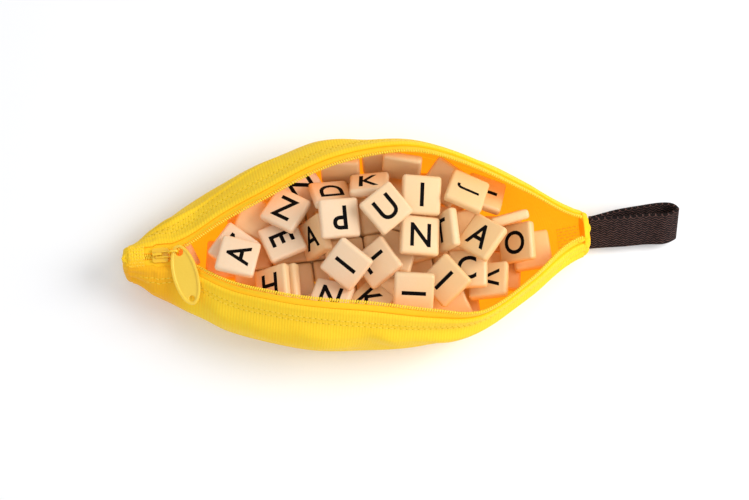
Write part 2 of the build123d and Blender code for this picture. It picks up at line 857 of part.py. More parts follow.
def squeeze(tile):
    # how far the cloth pushes the tile inwards: along X, along Y and upwards
    push = [0.0, 0.0, 0.0]
    for x, y, z in tile.rim_points():
        side = far if y > 0 else near
        end_excess = abs(x) - (half_length - end_room)
        if end_excess > 0:
            push[0] = -end_excess if x > 0 else end_excess
        floor_excess = floor_height(x) + wall_gap / 2 - z
        push[2] = max(push[2], floor_excess)
        lid_excess = z - mouth_height_at(x) - heap_rise
        if lid_excess > 0:
            push[2] = min(push[2], -lid_excess)
        excess = abs(y) - inside_half_width(x, z, side) + wall_gap
        if excess > max(abs(push[1]), 0):
            push[1] = -side * excess
    return push


def is_inside(tile):
    return all(abs(part) < 2 * least_move for part in squeeze(tile))


def ease_apart(tiles):
    # part the tiles bit by bit, inside the cloth, each kept near its own place
    pairs = {}
    for number, tile in enumerate(tiles):
        for other_number in range(number):
            key = (number, other_number)
            pairs[key] = parting_directions(tile, tiles[other_number])
    for count in range(easing_rounds + parting_rounds):
        moved = False
        for (number, other_number), limits in pairs.items():
            tile, other = tiles[number], tiles[other_number]
            if not near_enough(tile, other):
                continue
            overlap = least_overlap(tile, other, limits)
            if overlap is None:
                continue
            moved = True
            distance, unit, sign = overlap
            step = sign * (distance / 2 + least_move / 5)
            tile.middle = [a + step * b for a, b in zip(tile.middle, unit)]
            other.middle = [a - step * b for a, b in zip(other.middle, unit)]
        for tile in tiles:
            push = squeeze(tile)
            if any(abs(part) > least_move for part in push):
                moved = True
                tile.middle = [a + b for a, b in zip(tile.middle, push)]
            if count < easing_rounds:
                tile.middle = [
                    a + place_hold * (b - a) for a, b in zip(tile.middle, tile.spot)
                ]
        if count >= easing_rounds and not moved:
            return


def settle(tile, heap):
    # lower the tile until it lies on the heap or on the floor of the pouch
    floor = floor_height(tile.middle[0]) + wall_gap / 2 + tile.reach((0, 0, 1))
    stop = floor
    for other in heap:
        if other is tile or not near_enough(tile, other):
            continue
        lowest, highest = -pouch_length, pouch_length
        apart = [a - b for a, b in zip(tile.middle, other.middle)]
        for unit, limit in parting_directions(tile, other, tile_corner):
            along = dot(apart, unit)
            if abs(unit[2]) < nearly_level:
                if abs(along) >= limit:
                    lowest, highest = 1, 0
                continue
            ends = sorted(((-limit - along) / unit[2], (limit - along) / unit[2]))
            lowest, highest = max(lowest, ends[0]), min(highest, ends[1])
        if lowest < highest <= nearly_level:
            stop = max(stop, tile.middle[2] + highest)
    start = tile.middle[2]
    tile.middle[2] = min(start, stop)
    while not is_inside(tile) and tile.middle[2] < start:
        tile.middle[2] = min(tile.middle[2] + tile_gap / 2, start)


def is_free(tile, heap):
    others = [other for other in heap if near_enough(tile, other)]
    return is_inside(tile) and all(
        least_overlap(tile, other, parting_directions(tile, other)) is None
        for other in others
    )


def slip_under(tile, heap):
    # lower the tile until it finds room; False where there is none
    while tile.middle[2] > floor_height(tile.middle[0]):
        if is_free(tile, heap):
            return True
        tile.middle[2] -= slip_step
    return False


def buried_layer(bottom, turn, shift, heap):
    # flat tiles of one layer, wherever there is room for one
    pitch = tile_side + buried_gap
    rows = int(pouch_length / pitch)
    along, across = cos(radians(turn)), sin(radians(turn))
    layer = []
    for row in range(-rows, rows + 1):
        for column in range(-rows, rows + 1):
            u, v = (row + shift) * pitch, (column + shift) * pitch
            x, y = u * along - v * across, u * across + v * along
            top_here = buried_depth * mouth_height_at(x) / max(mouth_height)
            if bottom + tile_thickness > top_here or abs(x) > half_length:
                continue
            tile = Tile(x, y, bottom + tile_thickness / 2, turn)
            if is_free(tile, heap):
                layer.append(tile)
    return layer


def buried_layers(shown):
    laid = list(shown)
    bottom = floor_height(0) + wall_gap / 2
    while bottom + tile_thickness < buried_depth:
        tries = [
            buried_layer(bottom, turn, shift, laid)
            for turn in buried_turns
            for shift in buried_shifts
        ]
        laid += max(tries, key=len)
        bottom += tile_thickness + tile_gap
    return laid[len(shown):]


places = {name: Tile(*place) for name, *place in loose_tiles}
upper_tiles = {
    name: tile for name, tile in places.items() if not name.startswith(lower_tiles)
}
ease_apart(list(upper_tiles.values()))
heap = []
for name in list(upper_tiles):
    if is_free(upper_tiles[name], heap):
        heap.append(upper_tiles[name])
    else:
        del upper_tiles[name]
heap += buried_layers(heap)
for name, tile in places.items():
    if name.startswith(lower_tiles) and slip_under(tile, heap):
        heap.append(tile)
buried_tiles = heap[len(upper_tiles):]
for settling in range(settling_rounds):
    for tile in sorted(heap, key=lambda tile: tile.middle[2]):
        settle(tile, heap)


def tile_plane(tile):
    return Plane(origin=tile.middle, x_dir=tile.right, z_dir=tile.face)


def make_tile(plane):
    with BuildPart() as tile:
        with BuildSketch(plane.offset(-tile_thickness / 2)):
            Rectangle(tile_side, tile_side)
            chamfer(vertices(), tile_corner)
        extrude(amount=tile_thickness)
    return tile


blank_tile = make_tile(Plane.XY)
with BuildPart() as tiles_buried:
    with Locations(*[tile_plane(tile).location for tile in buried_tiles]):
        add(blank_tile.part)

# ---- files ----
pieces = {
    "side_panel_near": side_panel_near,
    "side_panel_far": side_panel_far,
    "bottom_panel": bottom_panel,
    "zip_tape_near": zip_tape_near,
    "zip_tape_far": zip_tape_far,
    "zip_teeth_near": zip_teeth_near,
    "zip_teeth_far": zip_teeth_far,
    "left_end_gather": left_end_gather,
    "right_end_gather": right_end_gather,
    "zip_end_patch": zip_end_patch,
    "strap_tack_patch": strap_tack_patch,
    "slider": slider,
    "pull_link": pull_link,
    "pull_tab": pull_tab,
    "strap_loop": strap_loop,
    "tiles_buried": tiles_buried,
}
for name, tile in upper_tiles.items():
    pieces["tile_" + name] = make_tile(tile_plane(tile))

for name, piece in pieces.items():
    piece.part.label = name
    export_step(piece.part, "parts/" + name + ".step")
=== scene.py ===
import json
import bpy
from math import acos, atan2, ceil, cos, exp, hypot, pi, radians, sin, sqrt
from mathutils import Matrix, Vector, noise


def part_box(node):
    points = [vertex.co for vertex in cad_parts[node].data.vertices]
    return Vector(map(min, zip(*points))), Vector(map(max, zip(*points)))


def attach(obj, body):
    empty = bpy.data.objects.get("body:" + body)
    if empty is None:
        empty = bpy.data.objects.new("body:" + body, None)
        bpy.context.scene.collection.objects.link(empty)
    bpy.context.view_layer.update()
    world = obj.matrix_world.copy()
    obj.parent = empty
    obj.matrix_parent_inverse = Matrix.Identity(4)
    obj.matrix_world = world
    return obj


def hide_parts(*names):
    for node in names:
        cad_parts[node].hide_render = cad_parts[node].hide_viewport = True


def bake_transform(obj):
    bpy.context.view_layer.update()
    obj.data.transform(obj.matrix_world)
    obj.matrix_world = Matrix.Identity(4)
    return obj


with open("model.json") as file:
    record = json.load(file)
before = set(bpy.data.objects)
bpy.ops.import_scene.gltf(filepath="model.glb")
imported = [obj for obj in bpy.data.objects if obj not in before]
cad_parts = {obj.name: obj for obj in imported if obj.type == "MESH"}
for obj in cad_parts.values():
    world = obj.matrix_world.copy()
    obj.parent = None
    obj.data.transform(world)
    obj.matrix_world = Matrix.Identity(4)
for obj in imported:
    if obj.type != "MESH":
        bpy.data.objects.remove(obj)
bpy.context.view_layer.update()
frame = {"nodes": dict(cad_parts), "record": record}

bpy.ops.object.select_all(action="DESELECT")

# ------ camera first, so that everything can be judged through it
cameraSettings = {
    "place": (-0.00825, -0.23107, 0.87416),   # above and in front of the pouch
    "lookAt": (0.0089, 0.00253, 0.0),
    "lens": 85.0,
}
bpy.ops.object.camera_add(location=cameraSettings["place"])
camera = bpy.context.object
camera.name = "photoCamera"
camera.data.lens = cameraSettings["lens"]
camera.data.sensor_width = 36.0
viewLine = Vector(cameraSettings["lookAt"]) - Vector(cameraSettings["place"])
camera.rotation_euler = viewLine.to_track_quat("-Z", "Y").to_euler()
bpy.context.scene.camera = camera
bpy.context.scene.view_settings.view_transform = "Standard"
print("camera placed")


# ------ small helpers for modelling
def deselectAll():
    bpy.ops.object.select_all(action="DESELECT")


def pick(piece):
    # makes one piece the only selected and active one
    deselectAll()
    piece.select_set(True)
    bpy.context.view_layer.objects.active = piece


def applyModifiers(piece):
    pick(piece)
    for modifier in list(piece.modifiers):
        bpy.ops.object.modifier_apply(modifier=modifier.name)


def editAll(piece, *steps):
    # runs edit-mode operators on the whole of a piece
    pick(piece)
    bpy.ops.object.mode_set(mode="EDIT")
    bpy.ops.mesh.select_all(action="SELECT")
    for step in steps:
        step()
    bpy.ops.object.mode_set(mode="OBJECT")


def smoothShading(piece, angle=40):
    pick(piece)
    bpy.ops.object.shade_smooth_by_angle(angle=radians(angle))


def settleInPlace(piece):
    # puts the place, turn and size into the mesh, with the object at the origin
    pick(piece)
    bpy.ops.object.transform_apply(location=True, rotation=True, scale=True)


def clothGrid(name, across, down, placeAt, patternAt):
    # a flat grid whose points are laid onto the surface that placeAt gives
    deselectAll()
    bpy.ops.mesh.primitive_grid_add(x_subdivisions=across, y_subdivisions=down, size=1)
    piece = bpy.context.object
    piece.name = name
    piece.data.name = name
    shares = [(v.co.x + 0.5, v.co.y + 0.5) for v in piece.data.vertices]
    for vertex, (u, v) in zip(piece.data.vertices, shares):
        vertex.co = placeAt(u, v)
    layer = piece.data.uv_layers.active.data
    for loop, uv in zip(piece.data.loops, layer):
        uv.uv = patternAt(*shares[loop.vertex_index])
    return piece


def thicken(piece, thickness, *materials):
    # the first material goes on the side the normals point to, the second on the other
    piece.data.materials.clear()
    for material in materials:
        piece.data.materials.append(material)
    modifier = piece.modifiers.new("thickness", "SOLIDIFY")
    modifier.thickness = thickness
    modifier.offset = 0.0
    modifier.use_even_offset = False
    modifier.material_offset = len(materials) - 1
    applyModifiers(piece)


def roundEdges(piece, width, segments=2, angle=30):
    modifier = piece.modifiers.new("roundEdges", "BEVEL")
    modifier.width = width
    modifier.segments = segments
    modifier.limit_method = "ANGLE"
    modifier.angle_limit = radians(angle)
    modifier.use_clamp_overlap = True
    applyModifiers(piece)


def repeated(name, shape, places):
    # one mesh with a copy of a small shape at every place
    points, faces = [], []
    base = [v.co.copy() for v in shape.data.vertices]
    polygons = [tuple(p.vertices) for p in shape.data.polygons]
    for place in places:
        start = len(points)
        points.extend(place @ point for point in base)
        faces.extend(tuple(start + i for i in polygon) for polygon in polygons)
    mesh = bpy.data.meshes.new(name)
    mesh.from_pydata([tuple(p) for p in points], [], faces)
    mesh.validate()
    piece = bpy.data.objects.new(name, mesh)
    bpy.context.scene.collection.objects.link(piece)
    bpy.data.objects.remove(shape)
    smoothShading(piece, 60)
    return piece


def axesAt(middle, across, up, out, sizes=(1, 1, 1)):
    # the matrix that puts a shape's x, y and z along three directions at a place
    rows = [[across[i] * sizes[0], up[i] * sizes[1], out[i] * sizes[2], middle[i]] for i in range(3)]
    return Matrix(rows + [[0, 0, 0, 1]])


def finishPiece(piece, material, slot, body, *replaced):
    if material:
        piece.data.materials.clear()
        piece.data.materials.append(material)
    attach(piece, body)
    if replaced:
        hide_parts(*replaced)
    return piece


# ------ shader groups and materials
def newGroup(name, inputs, outputs):
    group = bpy.data.node_groups.new(name, "ShaderNodeTree")
    for label, kind, value in inputs:
        socket = group.interface.new_socket(name=label, in_out="INPUT", socket_type=kind)
        if value is not None:
            socket.default_value = value
    for label, kind in outputs:
        group.interface.new_socket(name=label, in_out="OUTPUT", socket_type=kind)
    start = group.nodes.new("NodeGroupInput")
    end = group.nodes.new("NodeGroupOutput")
    return group, start, end


def calc(tree, operation, first, second=None, third=None):
    node = tree.nodes.new("ShaderNodeMath")
    node.operation = operation
    for socket, value in zip(node.inputs, (first, second, third)):
        if value is None:
            continue
        if isinstance(value, (int, float)):
            socket.default_value = value
        else:
            tree.links.new(value, socket)
    return node.outputs[0]


def blendColours(tree, factor, first, second, mode="MIX"):
    node = tree.nodes.new("ShaderNodeMix")
    node.data_type = "RGBA"
    node.blend_type = mode
    for socket, value in ((node.inputs[0], factor), (node.inputs[6], first), (node.inputs[7], second)):
        if isinstance(value, (int, float)):
            socket.default_value = value
        elif isinstance(value, tuple):
            socket.default_value = value
        else:
            tree.links.new(value, socket)
    return node.outputs[2]


def makeTwill():
    # raised diagonal ribs with a finer cross thread
    group, start, end = newGroup(
        "twillWeave",
        [("Vector", "NodeSocketVector", None), ("Rib Pitch", "NodeSocketFloat", 0.00135),
         ("Slant", "NodeSocketFloat", 0.12), ("Thread Pitch", "NodeSocketFloat", 0.0006)],
        [("Height", "NodeSocketFloat"), ("Rib", "NodeSocketFloat")],
    )
    parts = group.nodes.new("ShaderNodeSeparateXYZ")
    group.links.new(start.outputs["Vector"], parts.inputs[0])
    slanted = calc(group, "MULTIPLY_ADD", parts.outputs[1], start.outputs["Slant"], parts.outputs[0])
    turns = calc(group, "DIVIDE", slanted, start.outputs["Rib Pitch"])
    rib = calc(group, "SINE", calc(group, "MULTIPLY", turns, 2 * pi))
    rib = calc(group, "MULTIPLY_ADD", rib, 0.5, 0.5)
    crossTurns = calc(group, "DIVIDE", parts.outputs[1], start.outputs["Thread Pitch"])
    thread = calc(group, "SINE", calc(group, "MULTIPLY", crossTurns, 2 * pi))
    thread = calc(group, "MULTIPLY_ADD", thread, 0.5, 0.5)
    fuzz = group.nodes.new("ShaderNodeTexNoise")
    fuzz.inputs["Scale"].default_value = 1800.0
    fuzz.inputs["Detail"].default_value = 3.0
    group.links.new(start.outputs["Vector"], fuzz.inputs["Vector"])
    height = calc(group, "MULTIPLY_ADD", thread, 0.25, rib)
    height = calc(group, "MULTIPLY_ADD", fuzz.outputs[0], 0.5, height)
    group.links.new(height, end.inputs["Height"])
    group.links.new(rib, end.inputs["Rib"])
    return group


def makeMottle():
    # slow and fine changes of tone, as in dyed cloth or moulded plastic
    group, start, end = newGroup(
        "mottle",
        [("Vector", "NodeSocketVector", None), ("Base", "NodeSocketColor", (1, 1, 1, 1)),
         ("Deep", "NodeSocketColor", (0.5, 0.5, 0.5, 1)), ("Scale", "NodeSocketFloat", 40.0),
         ("Amount", "NodeSocketFloat", 0.5)],
        [("Color", "NodeSocketColor"), ("Mask", "NodeSocketFloat")],
    )
    broad = group.nodes.new("ShaderNodeTexNoise")
    broad.inputs["Detail"].default_value = 2.0
    fine = group.nodes.new("ShaderNodeTexNoise")
    fine.inputs["Detail"].default_value = 4.0
    group.links.new(start.outputs["Vector"], broad.inputs["Vector"])
    group.links.new(start.outputs["Scale"], broad.inputs["Scale"])
    group.links.new(start.outputs["Vector"], fine.inputs["Vector"])
    group.links.new(calc(group, "MULTIPLY", start.outputs["Scale"], 14.0), fine.inputs["Scale"])
    mixed = calc(group, "MULTIPLY_ADD", fine.outputs[0], 0.45, calc(group, "MULTIPLY", broad.outputs[0], 0.55))
    spread = calc(group, "MULTIPLY_ADD", mixed, 2.4, -0.7)
    clipped = calc(group, "MINIMUM", calc(group, "MAXIMUM", spread, 0.0), 1.0)
    amount = calc(group, "MULTIPLY", clipped, start.outputs["Amount"])
    colour = blendColours(group, amount, start.outputs["Base"], start.outputs["Deep"])
    group.links.new(colour, end.inputs["Color"])
    group.links.new(clipped, end.inputs["Mask"])
    return group


def makeFineGrain():
    # tiny unevenness of a moulded or painted surface
    group, start, end = newGroup(
        "fineGrain",
        [("Vector", "NodeSocketVector", None), ("Scale", "NodeSocketFloat", 900.0)],
        [("Height", "NodeSocketFloat"), ("Smudge", "NodeSocketFloat")],
    )
    grain = group.nodes.new("ShaderNodeTexNoise")
    grain.inputs["Detail"].default_value = 3.0
    group.links.new(start.outputs["Vector"], grain.inputs["Vector"])
    group.links.new(start.outputs["Scale"], grain.inputs["Scale"])
    smudge = group.nodes.new("ShaderNodeTexNoise")
    smudge.inputs["Detail"].default_value = 2.0
    group.links.new(start.outputs["Vector"], smudge.inputs["Vector"])
    group.links.new(calc(group, "MULTIPLY", start.outputs["Scale"], 0.12), smudge.inputs["Scale"])
    group.links.new(grain.outputs[0], end.inputs["Height"])
    group.links.new(smudge.outputs[0], end.inputs["Smudge"])
    return group


twillGroup = makeTwill()
mottleGroup = makeMottle()
grainGroup = makeFineGrain()


def useGroup(tree, group, vector, **values):
    node = tree.nodes.new("ShaderNodeGroup")
    node.node_tree = group
    tree.links.new(vector, node.inputs["Vector"])
    for label, value in values.items():
        socket = node.inputs[label.replace("_", " ")]
        if isinstance(value, (int, float, tuple)):
            socket.default_value = value
        else:
            tree.links.new(value, socket)
    return node


def startMaterial(name, roughness, **constants):
    material = bpy.data.materials.new(name)
    material.use_nodes = True
    tree = material.node_tree
    shader = next(n for n in tree.nodes if n.type == "BSDF_PRINCIPLED")
    shader.inputs["Roughness"].default_value = roughness
    for label, value in constants.items():
        shader.inputs[label.replace("_", " ")].default_value = value
    coordinates = tree.nodes.new("ShaderNodeTexCoord")
    return material, tree, shader, coordinates


def addBump(tree, shader, height, distance, strength=1.0):
    bump = tree.nodes.new("ShaderNodeBump")
    bump.inputs["Strength"].default_value = strength
    bump.inputs["Distance"].default_value = distance
    tree.links.new(height, bump.inputs["Height"])
    tree.links.new(bump.outputs[0], shader.inputs["Normal"])


def clothMaterial(name, look):
    material, tree, shader, coordinates = startMaterial(
        name, look["roughness"], Sheen_Weight=look["sheen"], Sheen_Roughness=0.4,
        Specular_IOR_Level=0.25,
    )
    weave = useGroup(tree, twillGroup, coordinates.outputs["UV"], Rib_Pitch=look["ribPitch"],
                     Slant=look["slant"], Thread_Pitch=look["threadPitch"])
    tone = useGroup(tree, mottleGroup, coordinates.outputs["Object"], Base=look["colour"],
                    Deep=look["deep"], Scale=look["mottleScale"], Amount=look["mottle"])
    colour = tone.outputs["Color"]
    if "foldShadeColour" in look:
        # painted shade: a deeper colour in the folds between the left end and the pull tab
        place = tree.nodes.new("ShaderNodeSeparateXYZ")
        tree.links.new(coordinates.outputs["Object"], place.inputs[0])
        atEnd = calc(tree, "MULTIPLY_ADD", place.outputs[0], -90.0, -7.6)
        nearSide = calc(tree, "MULTIPLY_ADD", place.outputs[1], -160.0, 0.0)
        atEnd = calc(tree, "MINIMUM", calc(tree, "MAXIMUM", atEnd, 0.0), 1.0)
        nearSide = calc(tree, "MINIMUM", calc(tree, "MAXIMUM", nearSide, 0.0), 1.0)
        foldShadeMask = calc(tree, "MULTIPLY", calc(tree, "MULTIPLY", atEnd, nearSide), 0.82)
        colour = blendColours(tree, foldShadeMask, colour, look["foldShadeColour"])
    valley = calc(tree, "MULTIPLY_ADD", weave.outputs["Rib"], -look["ribShade"], look["ribShade"])
    shaded = blendColours(tree, valley, colour, look["deep"])
    tree.links.new(shaded, shader.inputs["Base Color"])
    # painted light: the cloth glows by itself, in place of light that comes through it from outside and bounces inside
    # the pouch
    shader.inputs["Emission Color"].default_value = look["glowColour"]
    shader.inputs["Emission Strength"].default_value = look["glow"]
    rough = calc(tree, "MULTIPLY_ADD", tone.outputs["Mask"], 0.12, look["roughness"] - 0.06)
    tree.links.new(rough, shader.inputs["Roughness"])
    addBump(tree, shader, weave.outputs["Height"], look["ribDepth"])
    return material


def plasticMaterial(name, look):
    material, tree, shader, coordinates = startMaterial(
        name, look["roughness"], Specular_IOR_Level=look.get("gloss", 0.5),
        Coat_Weight=look.get("coat", 0.0), Coat_Roughness=0.25,
        Subsurface_Weight=look.get("glow", 0.0), Subsurface_Scale=0.002,
        Subsurface_Radius=look.get("glowColour", (1.0, 0.5, 0.2)),
    )
    tone = useGroup(tree, mottleGroup, coordinates.outputs["Object"], Base=look["colour"],
                    Deep=look["deep"], Scale=look["mottleScale"], Amount=look["mottle"])
    grain = useGroup(tree, grainGroup, coordinates.outputs["Object"], Scale=look["grainScale"])
    colour = tone.outputs["Color"]
    if "paintedBounceColour" in look:
        # painted light: the plastic turns more orange to the right and lower down, in place of orange light bounced
        # from the cloth
        place = tree.nodes.new("ShaderNodeSeparateXYZ")
        tree.links.new(coordinates.outputs["Object"], place.inputs[0])
        bounceX, bounceZ, bounceStart = look["paintedBouncePlace"]
        paintedBounce = calc(tree, "MULTIPLY_ADD", place.outputs[0], bounceX, bounceStart)
        paintedBounce = calc(tree, "MULTIPLY_ADD", place.outputs[2], bounceZ, paintedBounce)
        paintedBounce = calc(tree, "MINIMUM", calc(tree, "MAXIMUM", paintedBounce, 0.0), 1.0)
        colour = blendColours(tree, paintedBounce, colour, look["paintedBounceColour"])
    tree.links.new(colour, shader.inputs["Base Color"])
    rough = calc(tree, "MULTIPLY_ADD", grain.outputs["Smudge"], 0.25, look["roughness"] - 0.12)
    tree.links.new(rough, shader.inputs["Roughness"])
    addBump(tree, shader, grain.outputs["Height"], look["grainDepth"])
    return material


looks = {
    "pouchCloth": {"colour": (1.0, 0.69, 0.028, 1), "deep": (1.0, 0.53, 0.006, 1),
                   "roughness": 0.70, "sheen": 0.04, "ribPitch": 0.00137, "slant": 0.16,
                   "threadPitch": 0.00052, "ribDepth": 0.00008, "ribShade": 0.34,
                   "mottleScale": 38.0, "mottle": 0.38, "glow": 0.0,
                   # painted shade for the folds at the near left end
                   "foldShadeColour": (0.94, 0.40, 0.003, 1),
                   "glowColour": (1, 1, 1, 1)},
    # the cloth's inside faces: painted a deeper orange than the outer cloth and made to glow, painted shade and painted
    # light bounced inside the pouch
    "lining": {"colour": (0.98, 0.465, 0.004, 1), "deep": (0.95, 0.34, 0.002, 1),
               "roughness": 0.75, "sheen": 0.05, "ribPitch": 0.00137, "slant": 0.16,
               "threadPitch": 0.00052, "ribDepth": 0.00004, "ribShade": 0.08,
               "mottleScale": 45.0, "mottle": 0.5, "glow": 0.46,
               "glowColour": (1.0, 0.53, 0.012, 1)},
    "zipTape": {"colour": (1.0, 0.65, 0.018, 1), "deep": (0.98, 0.53, 0.006, 1),
                "roughness": 0.64, "sheen": 0.08, "ribPitch": 0.0009, "slant": 0.9,
                "threadPitch": 0.0004, "ribDepth": 0.00005, "ribShade": 0.10,
                "mottleScale": 60.0, "mottle": 0.2, "glow": 0.0,
                "glowColour": (1, 1, 1, 1)},
    # the tape's inside faces: likewise a deeper orange with a glow, painted shade and painted light
    "tapeInside": {"colour": (1.0, 0.52, 0.008, 1), "deep": (0.96, 0.42, 0.003, 1),
                   "roughness": 0.66, "sheen": 0.05, "ribPitch": 0.0009, "slant": 0.9,
                   "threadPitch": 0.0004, "ribDepth": 0.00005, "ribShade": 0.10,
                   "mottleScale": 60.0, "mottle": 0.2, "glow": 0.36,
                   "glowColour": (1.0, 0.56, 0.015, 1)},
    "zipCoil": {"colour": (0.98, 0.68, 0.03, 1), "deep": (0.92, 0.52, 0.008, 1),
                "roughness": 0.42, "mottleScale": 120.0, "mottle": 0.2,
                "grainScale": 900.0, "grainDepth": 0.00004},
    "thread": {"colour": (1.0, 0.72, 0.06, 1), "deep": (0.92, 0.52, 0.01, 1),
               "roughness": 0.6, "mottleScale": 300.0, "mottle": 0.5,
               "grainScale": 2500.0, "grainDepth": 0.00005},
    # dark marks of painted shade, in the needle holes and along creases
    "holeAndCreaseShade": {"colour": (0.78, 0.48, 0.012, 1), "deep": (0.62, 0.35, 0.007, 1),
                   "roughness": 0.8, "gloss": 0.1, "mottleScale": 300.0, "mottle": 0.5,
                   "grainScale": 2500.0, "grainDepth": 0.00002},
    "paintedMetal": {"colour": (0.93, 0.56, 0.010, 1), "deep": (0.80, 0.42, 0.005, 1),
                     "roughness": 0.34, "coat": 0.3, "mottleScale": 150.0, "mottle": 0.3,
                     "grainScale": 700.0, "grainDepth": 0.00004},
    "tabPlastic": {"colour": (0.93, 0.61, 0.05, 1), "deep": (0.87, 0.50, 0.03, 1),
                   "roughness": 0.42, "coat": 0.1, "mottleScale": 120.0, "mottle": 0.3,
                   "grainScale": 800.0, "grainDepth": 0.00006},
    "ivoryTile": {"colour": (0.85, 0.64, 0.44, 1), "deep": (0.85, 0.56, 0.32, 1),
                  # painted light bounced from the cloth, more orange to the right
                  "paintedBounceColour": (0.86, 0.54, 0.24, 1), "paintedBouncePlace": (15.0, 0.0, 0.20),
                  "roughness": 0.40, "gloss": 0.45, "mottleScale": 70.0, "mottle": 0.5,
                  "grainScale": 650.0, "grainDepth": 0.00005, "glow": 0.08,
                  "glowColour": (1.0, 0.6, 0.3)},
    # a darker, more orange copy of the tile colour: painted shade and painted light bounced from the cloth
    "shadeTintedTile": {"colour": (0.86, 0.60, 0.33, 1), "deep": (0.86, 0.51, 0.21, 1),
                # painted light bounced from the cloth, more orange to the right and lower down
                "paintedBounceColour": (0.88, 0.55, 0.22, 1), "paintedBouncePlace": (6.0, -25.0, 0.70),
                "roughness": 0.40, "gloss": 0.45, "mottleScale": 70.0, "mottle": 0.5,
                "grainScale": 650.0, "grainDepth": 0.00005, "glow": 0.08,
                "glowColour": (1.0, 0.6, 0.3)},
    "letterInk": {"colour": (0.003, 0.0025, 0.0025, 1), "deep": (0.008, 0.006, 0.005, 1),
                  "roughness": 0.7, "gloss": 0.03, "mottleScale": 200.0, "mottle": 0.4,
                  "grainScale": 1500.0, "grainDepth": 0.00001},
}
pouchCloth = clothMaterial("pouchCloth", looks["pouchCloth"])
lining = clothMaterial("pouchLining", looks["lining"])
zipTape = clothMaterial("zipTapeWeave", looks["zipTape"])
tapeInside = clothMaterial("zipTapeInside", looks["tapeInside"])
zipCoil = plasticMaterial("zipCoil", looks["zipCoil"])
thread = plasticMaterial("sewingThread", looks["thread"])
holeAndCreaseShade = plasticMaterial("holeAndCreaseShade", looks["holeAndCreaseShade"])
paintedMetal = plasticMaterial("paintedMetal", looks["paintedMetal"])
tabPlastic = plasticMaterial("tabPlastic", looks["tabPlastic"])
ivoryTile = plasticMaterial("ivoryTile", looks["ivoryTile"])
shadeTintedTile = plasticMaterial("shadeTintedTile", looks["shadeTintedTile"])
letterInk = plasticMaterial("letterInk", looks["letterInk"])
print("materials made")

# ------ the pouch's form: the same curves as the solids have, in metres
pouch = {
    "length": 0.227, "halfWidth": 0.052, "cloth": 0.0012, "lapGap": 0.0002,
    "baseHalfWidth": 0.034, "bellyHeight": 0.019, "endBellyHeight": 0.013,
    "endBaseHeight": 0.006, "flatDepth": 0.00015,
    "shoulderReach": 0.45, "slackDrop": 0.12, "tautDrop": 0.34,
    "slackPull": 0.55, "tautPull": 0.25, "openingLength": 0.014,
    "bellyNear": (0.20, 0.52, 0.80, 0.96, 1.00, 0.99, 0.89, 0.55, 0.21),
    "bellyFar": (0.20, 0.52, 0.79, 0.95, 1.00, 0.96, 0.79, 0.52, 0.20),
    "mouthNear": (0.12, 0.47, 0.60, 0.68, 0.76, 0.88, 1.00, 0.96, 0.60),
    "mouthFar": (0.12, 0.40, 0.54, 0.69, 0.78, 0.83, 0.80, 0.72, 0.60),
    "mouthHeight": (0.027, 0.033, 0.0405, 0.0455, 0.0475, 0.047, 0.042, 0.034, 0.025),
    "tape": 0.0008, "tapeWidth": 0.011, "tapeShown": 0.0031, "tapeEdge": 0.0015,
    "toothReach": 0.0019, "toothSeat": 0.0001, "toothHeight": 0.0015,
    "sliderLeft": -0.1015, "sliderRight": -0.0935,
    "closedEdge": 0.0017, "partedEdge": 0.0028, "partingX": -0.0995, "partingRamp": 0.002,
    "seamShare": 0.2, "pinch": 0.32, "pinchFrom": 0.003, "pinchLength": 0.011,
}
halfLength = pouch["length"] / 2
lapDepth = pouch["tape"] / 2 + pouch["lapGap"]
panelOutside = lapDepth + pouch["cloth"]
panelMiddle = (lapDepth + panelOutside) / 2
near, far = -1, 1


def smoothTable(values, share):
    # a smooth curve through evenly spaced values
    spans = len(values) - 1
    place = min(max(share, 0.0), 1.0) * spans
    first = min(int(place), spans - 1)
    step = place - first
    before, start, end = values[max(first - 1, 0)], values[first], values[first + 1]
    after = values[min(first + 2, spans)]
    bend = 2 * before - 5 * start + 4 * end - after
    twist = 3 * (start - end) + after - before
    return start + 0.5 * step * (end - before + step * (bend + step * twist))


def easeBetween(value, low, high):
    share = min(max((value - low) / (high - low), 0.0), 1.0)
    return share * share * (3 - 2 * share)


def bellyAt(x, side):
    widths = pouch["bellyFar"] if side == far else pouch["bellyNear"]
    return smoothTable(widths, (x + halfLength) / pouch["length"]) * pouch["halfWidth"] - panelOutside


def bellyHeightAt(x):
    rise = pouch["bellyHeight"] - pouch["endBellyHeight"]
    return pouch["endBellyHeight"] + rise * (1 - (x / halfLength) ** 2)


def baseHeightAt(x):
    return panelOutside - pouch["flatDepth"] + pouch["endBaseHeight"] * abs(x / halfLength) ** 6


def mouthShare(x):
    return (x - pouch["sliderRight"]) / (halfLength - pouch["sliderRight"])


def mouthAt(x, side):
    if x <= pouch["sliderRight"]:
        opened = min(max((x - pouch["partingX"]) / pouch["partingRamp"] + 1, 0.0), 1.0)
        return pouch["closedEdge"] + opened * (pouch["partedEdge"] - pouch["closedEdge"])
    widths = pouch["mouthFar"] if side == far else pouch["mouthNear"]
    return max(smoothTable(widths, mouthShare(x)) * bellyAt(x, side), pouch["partedEdge"])


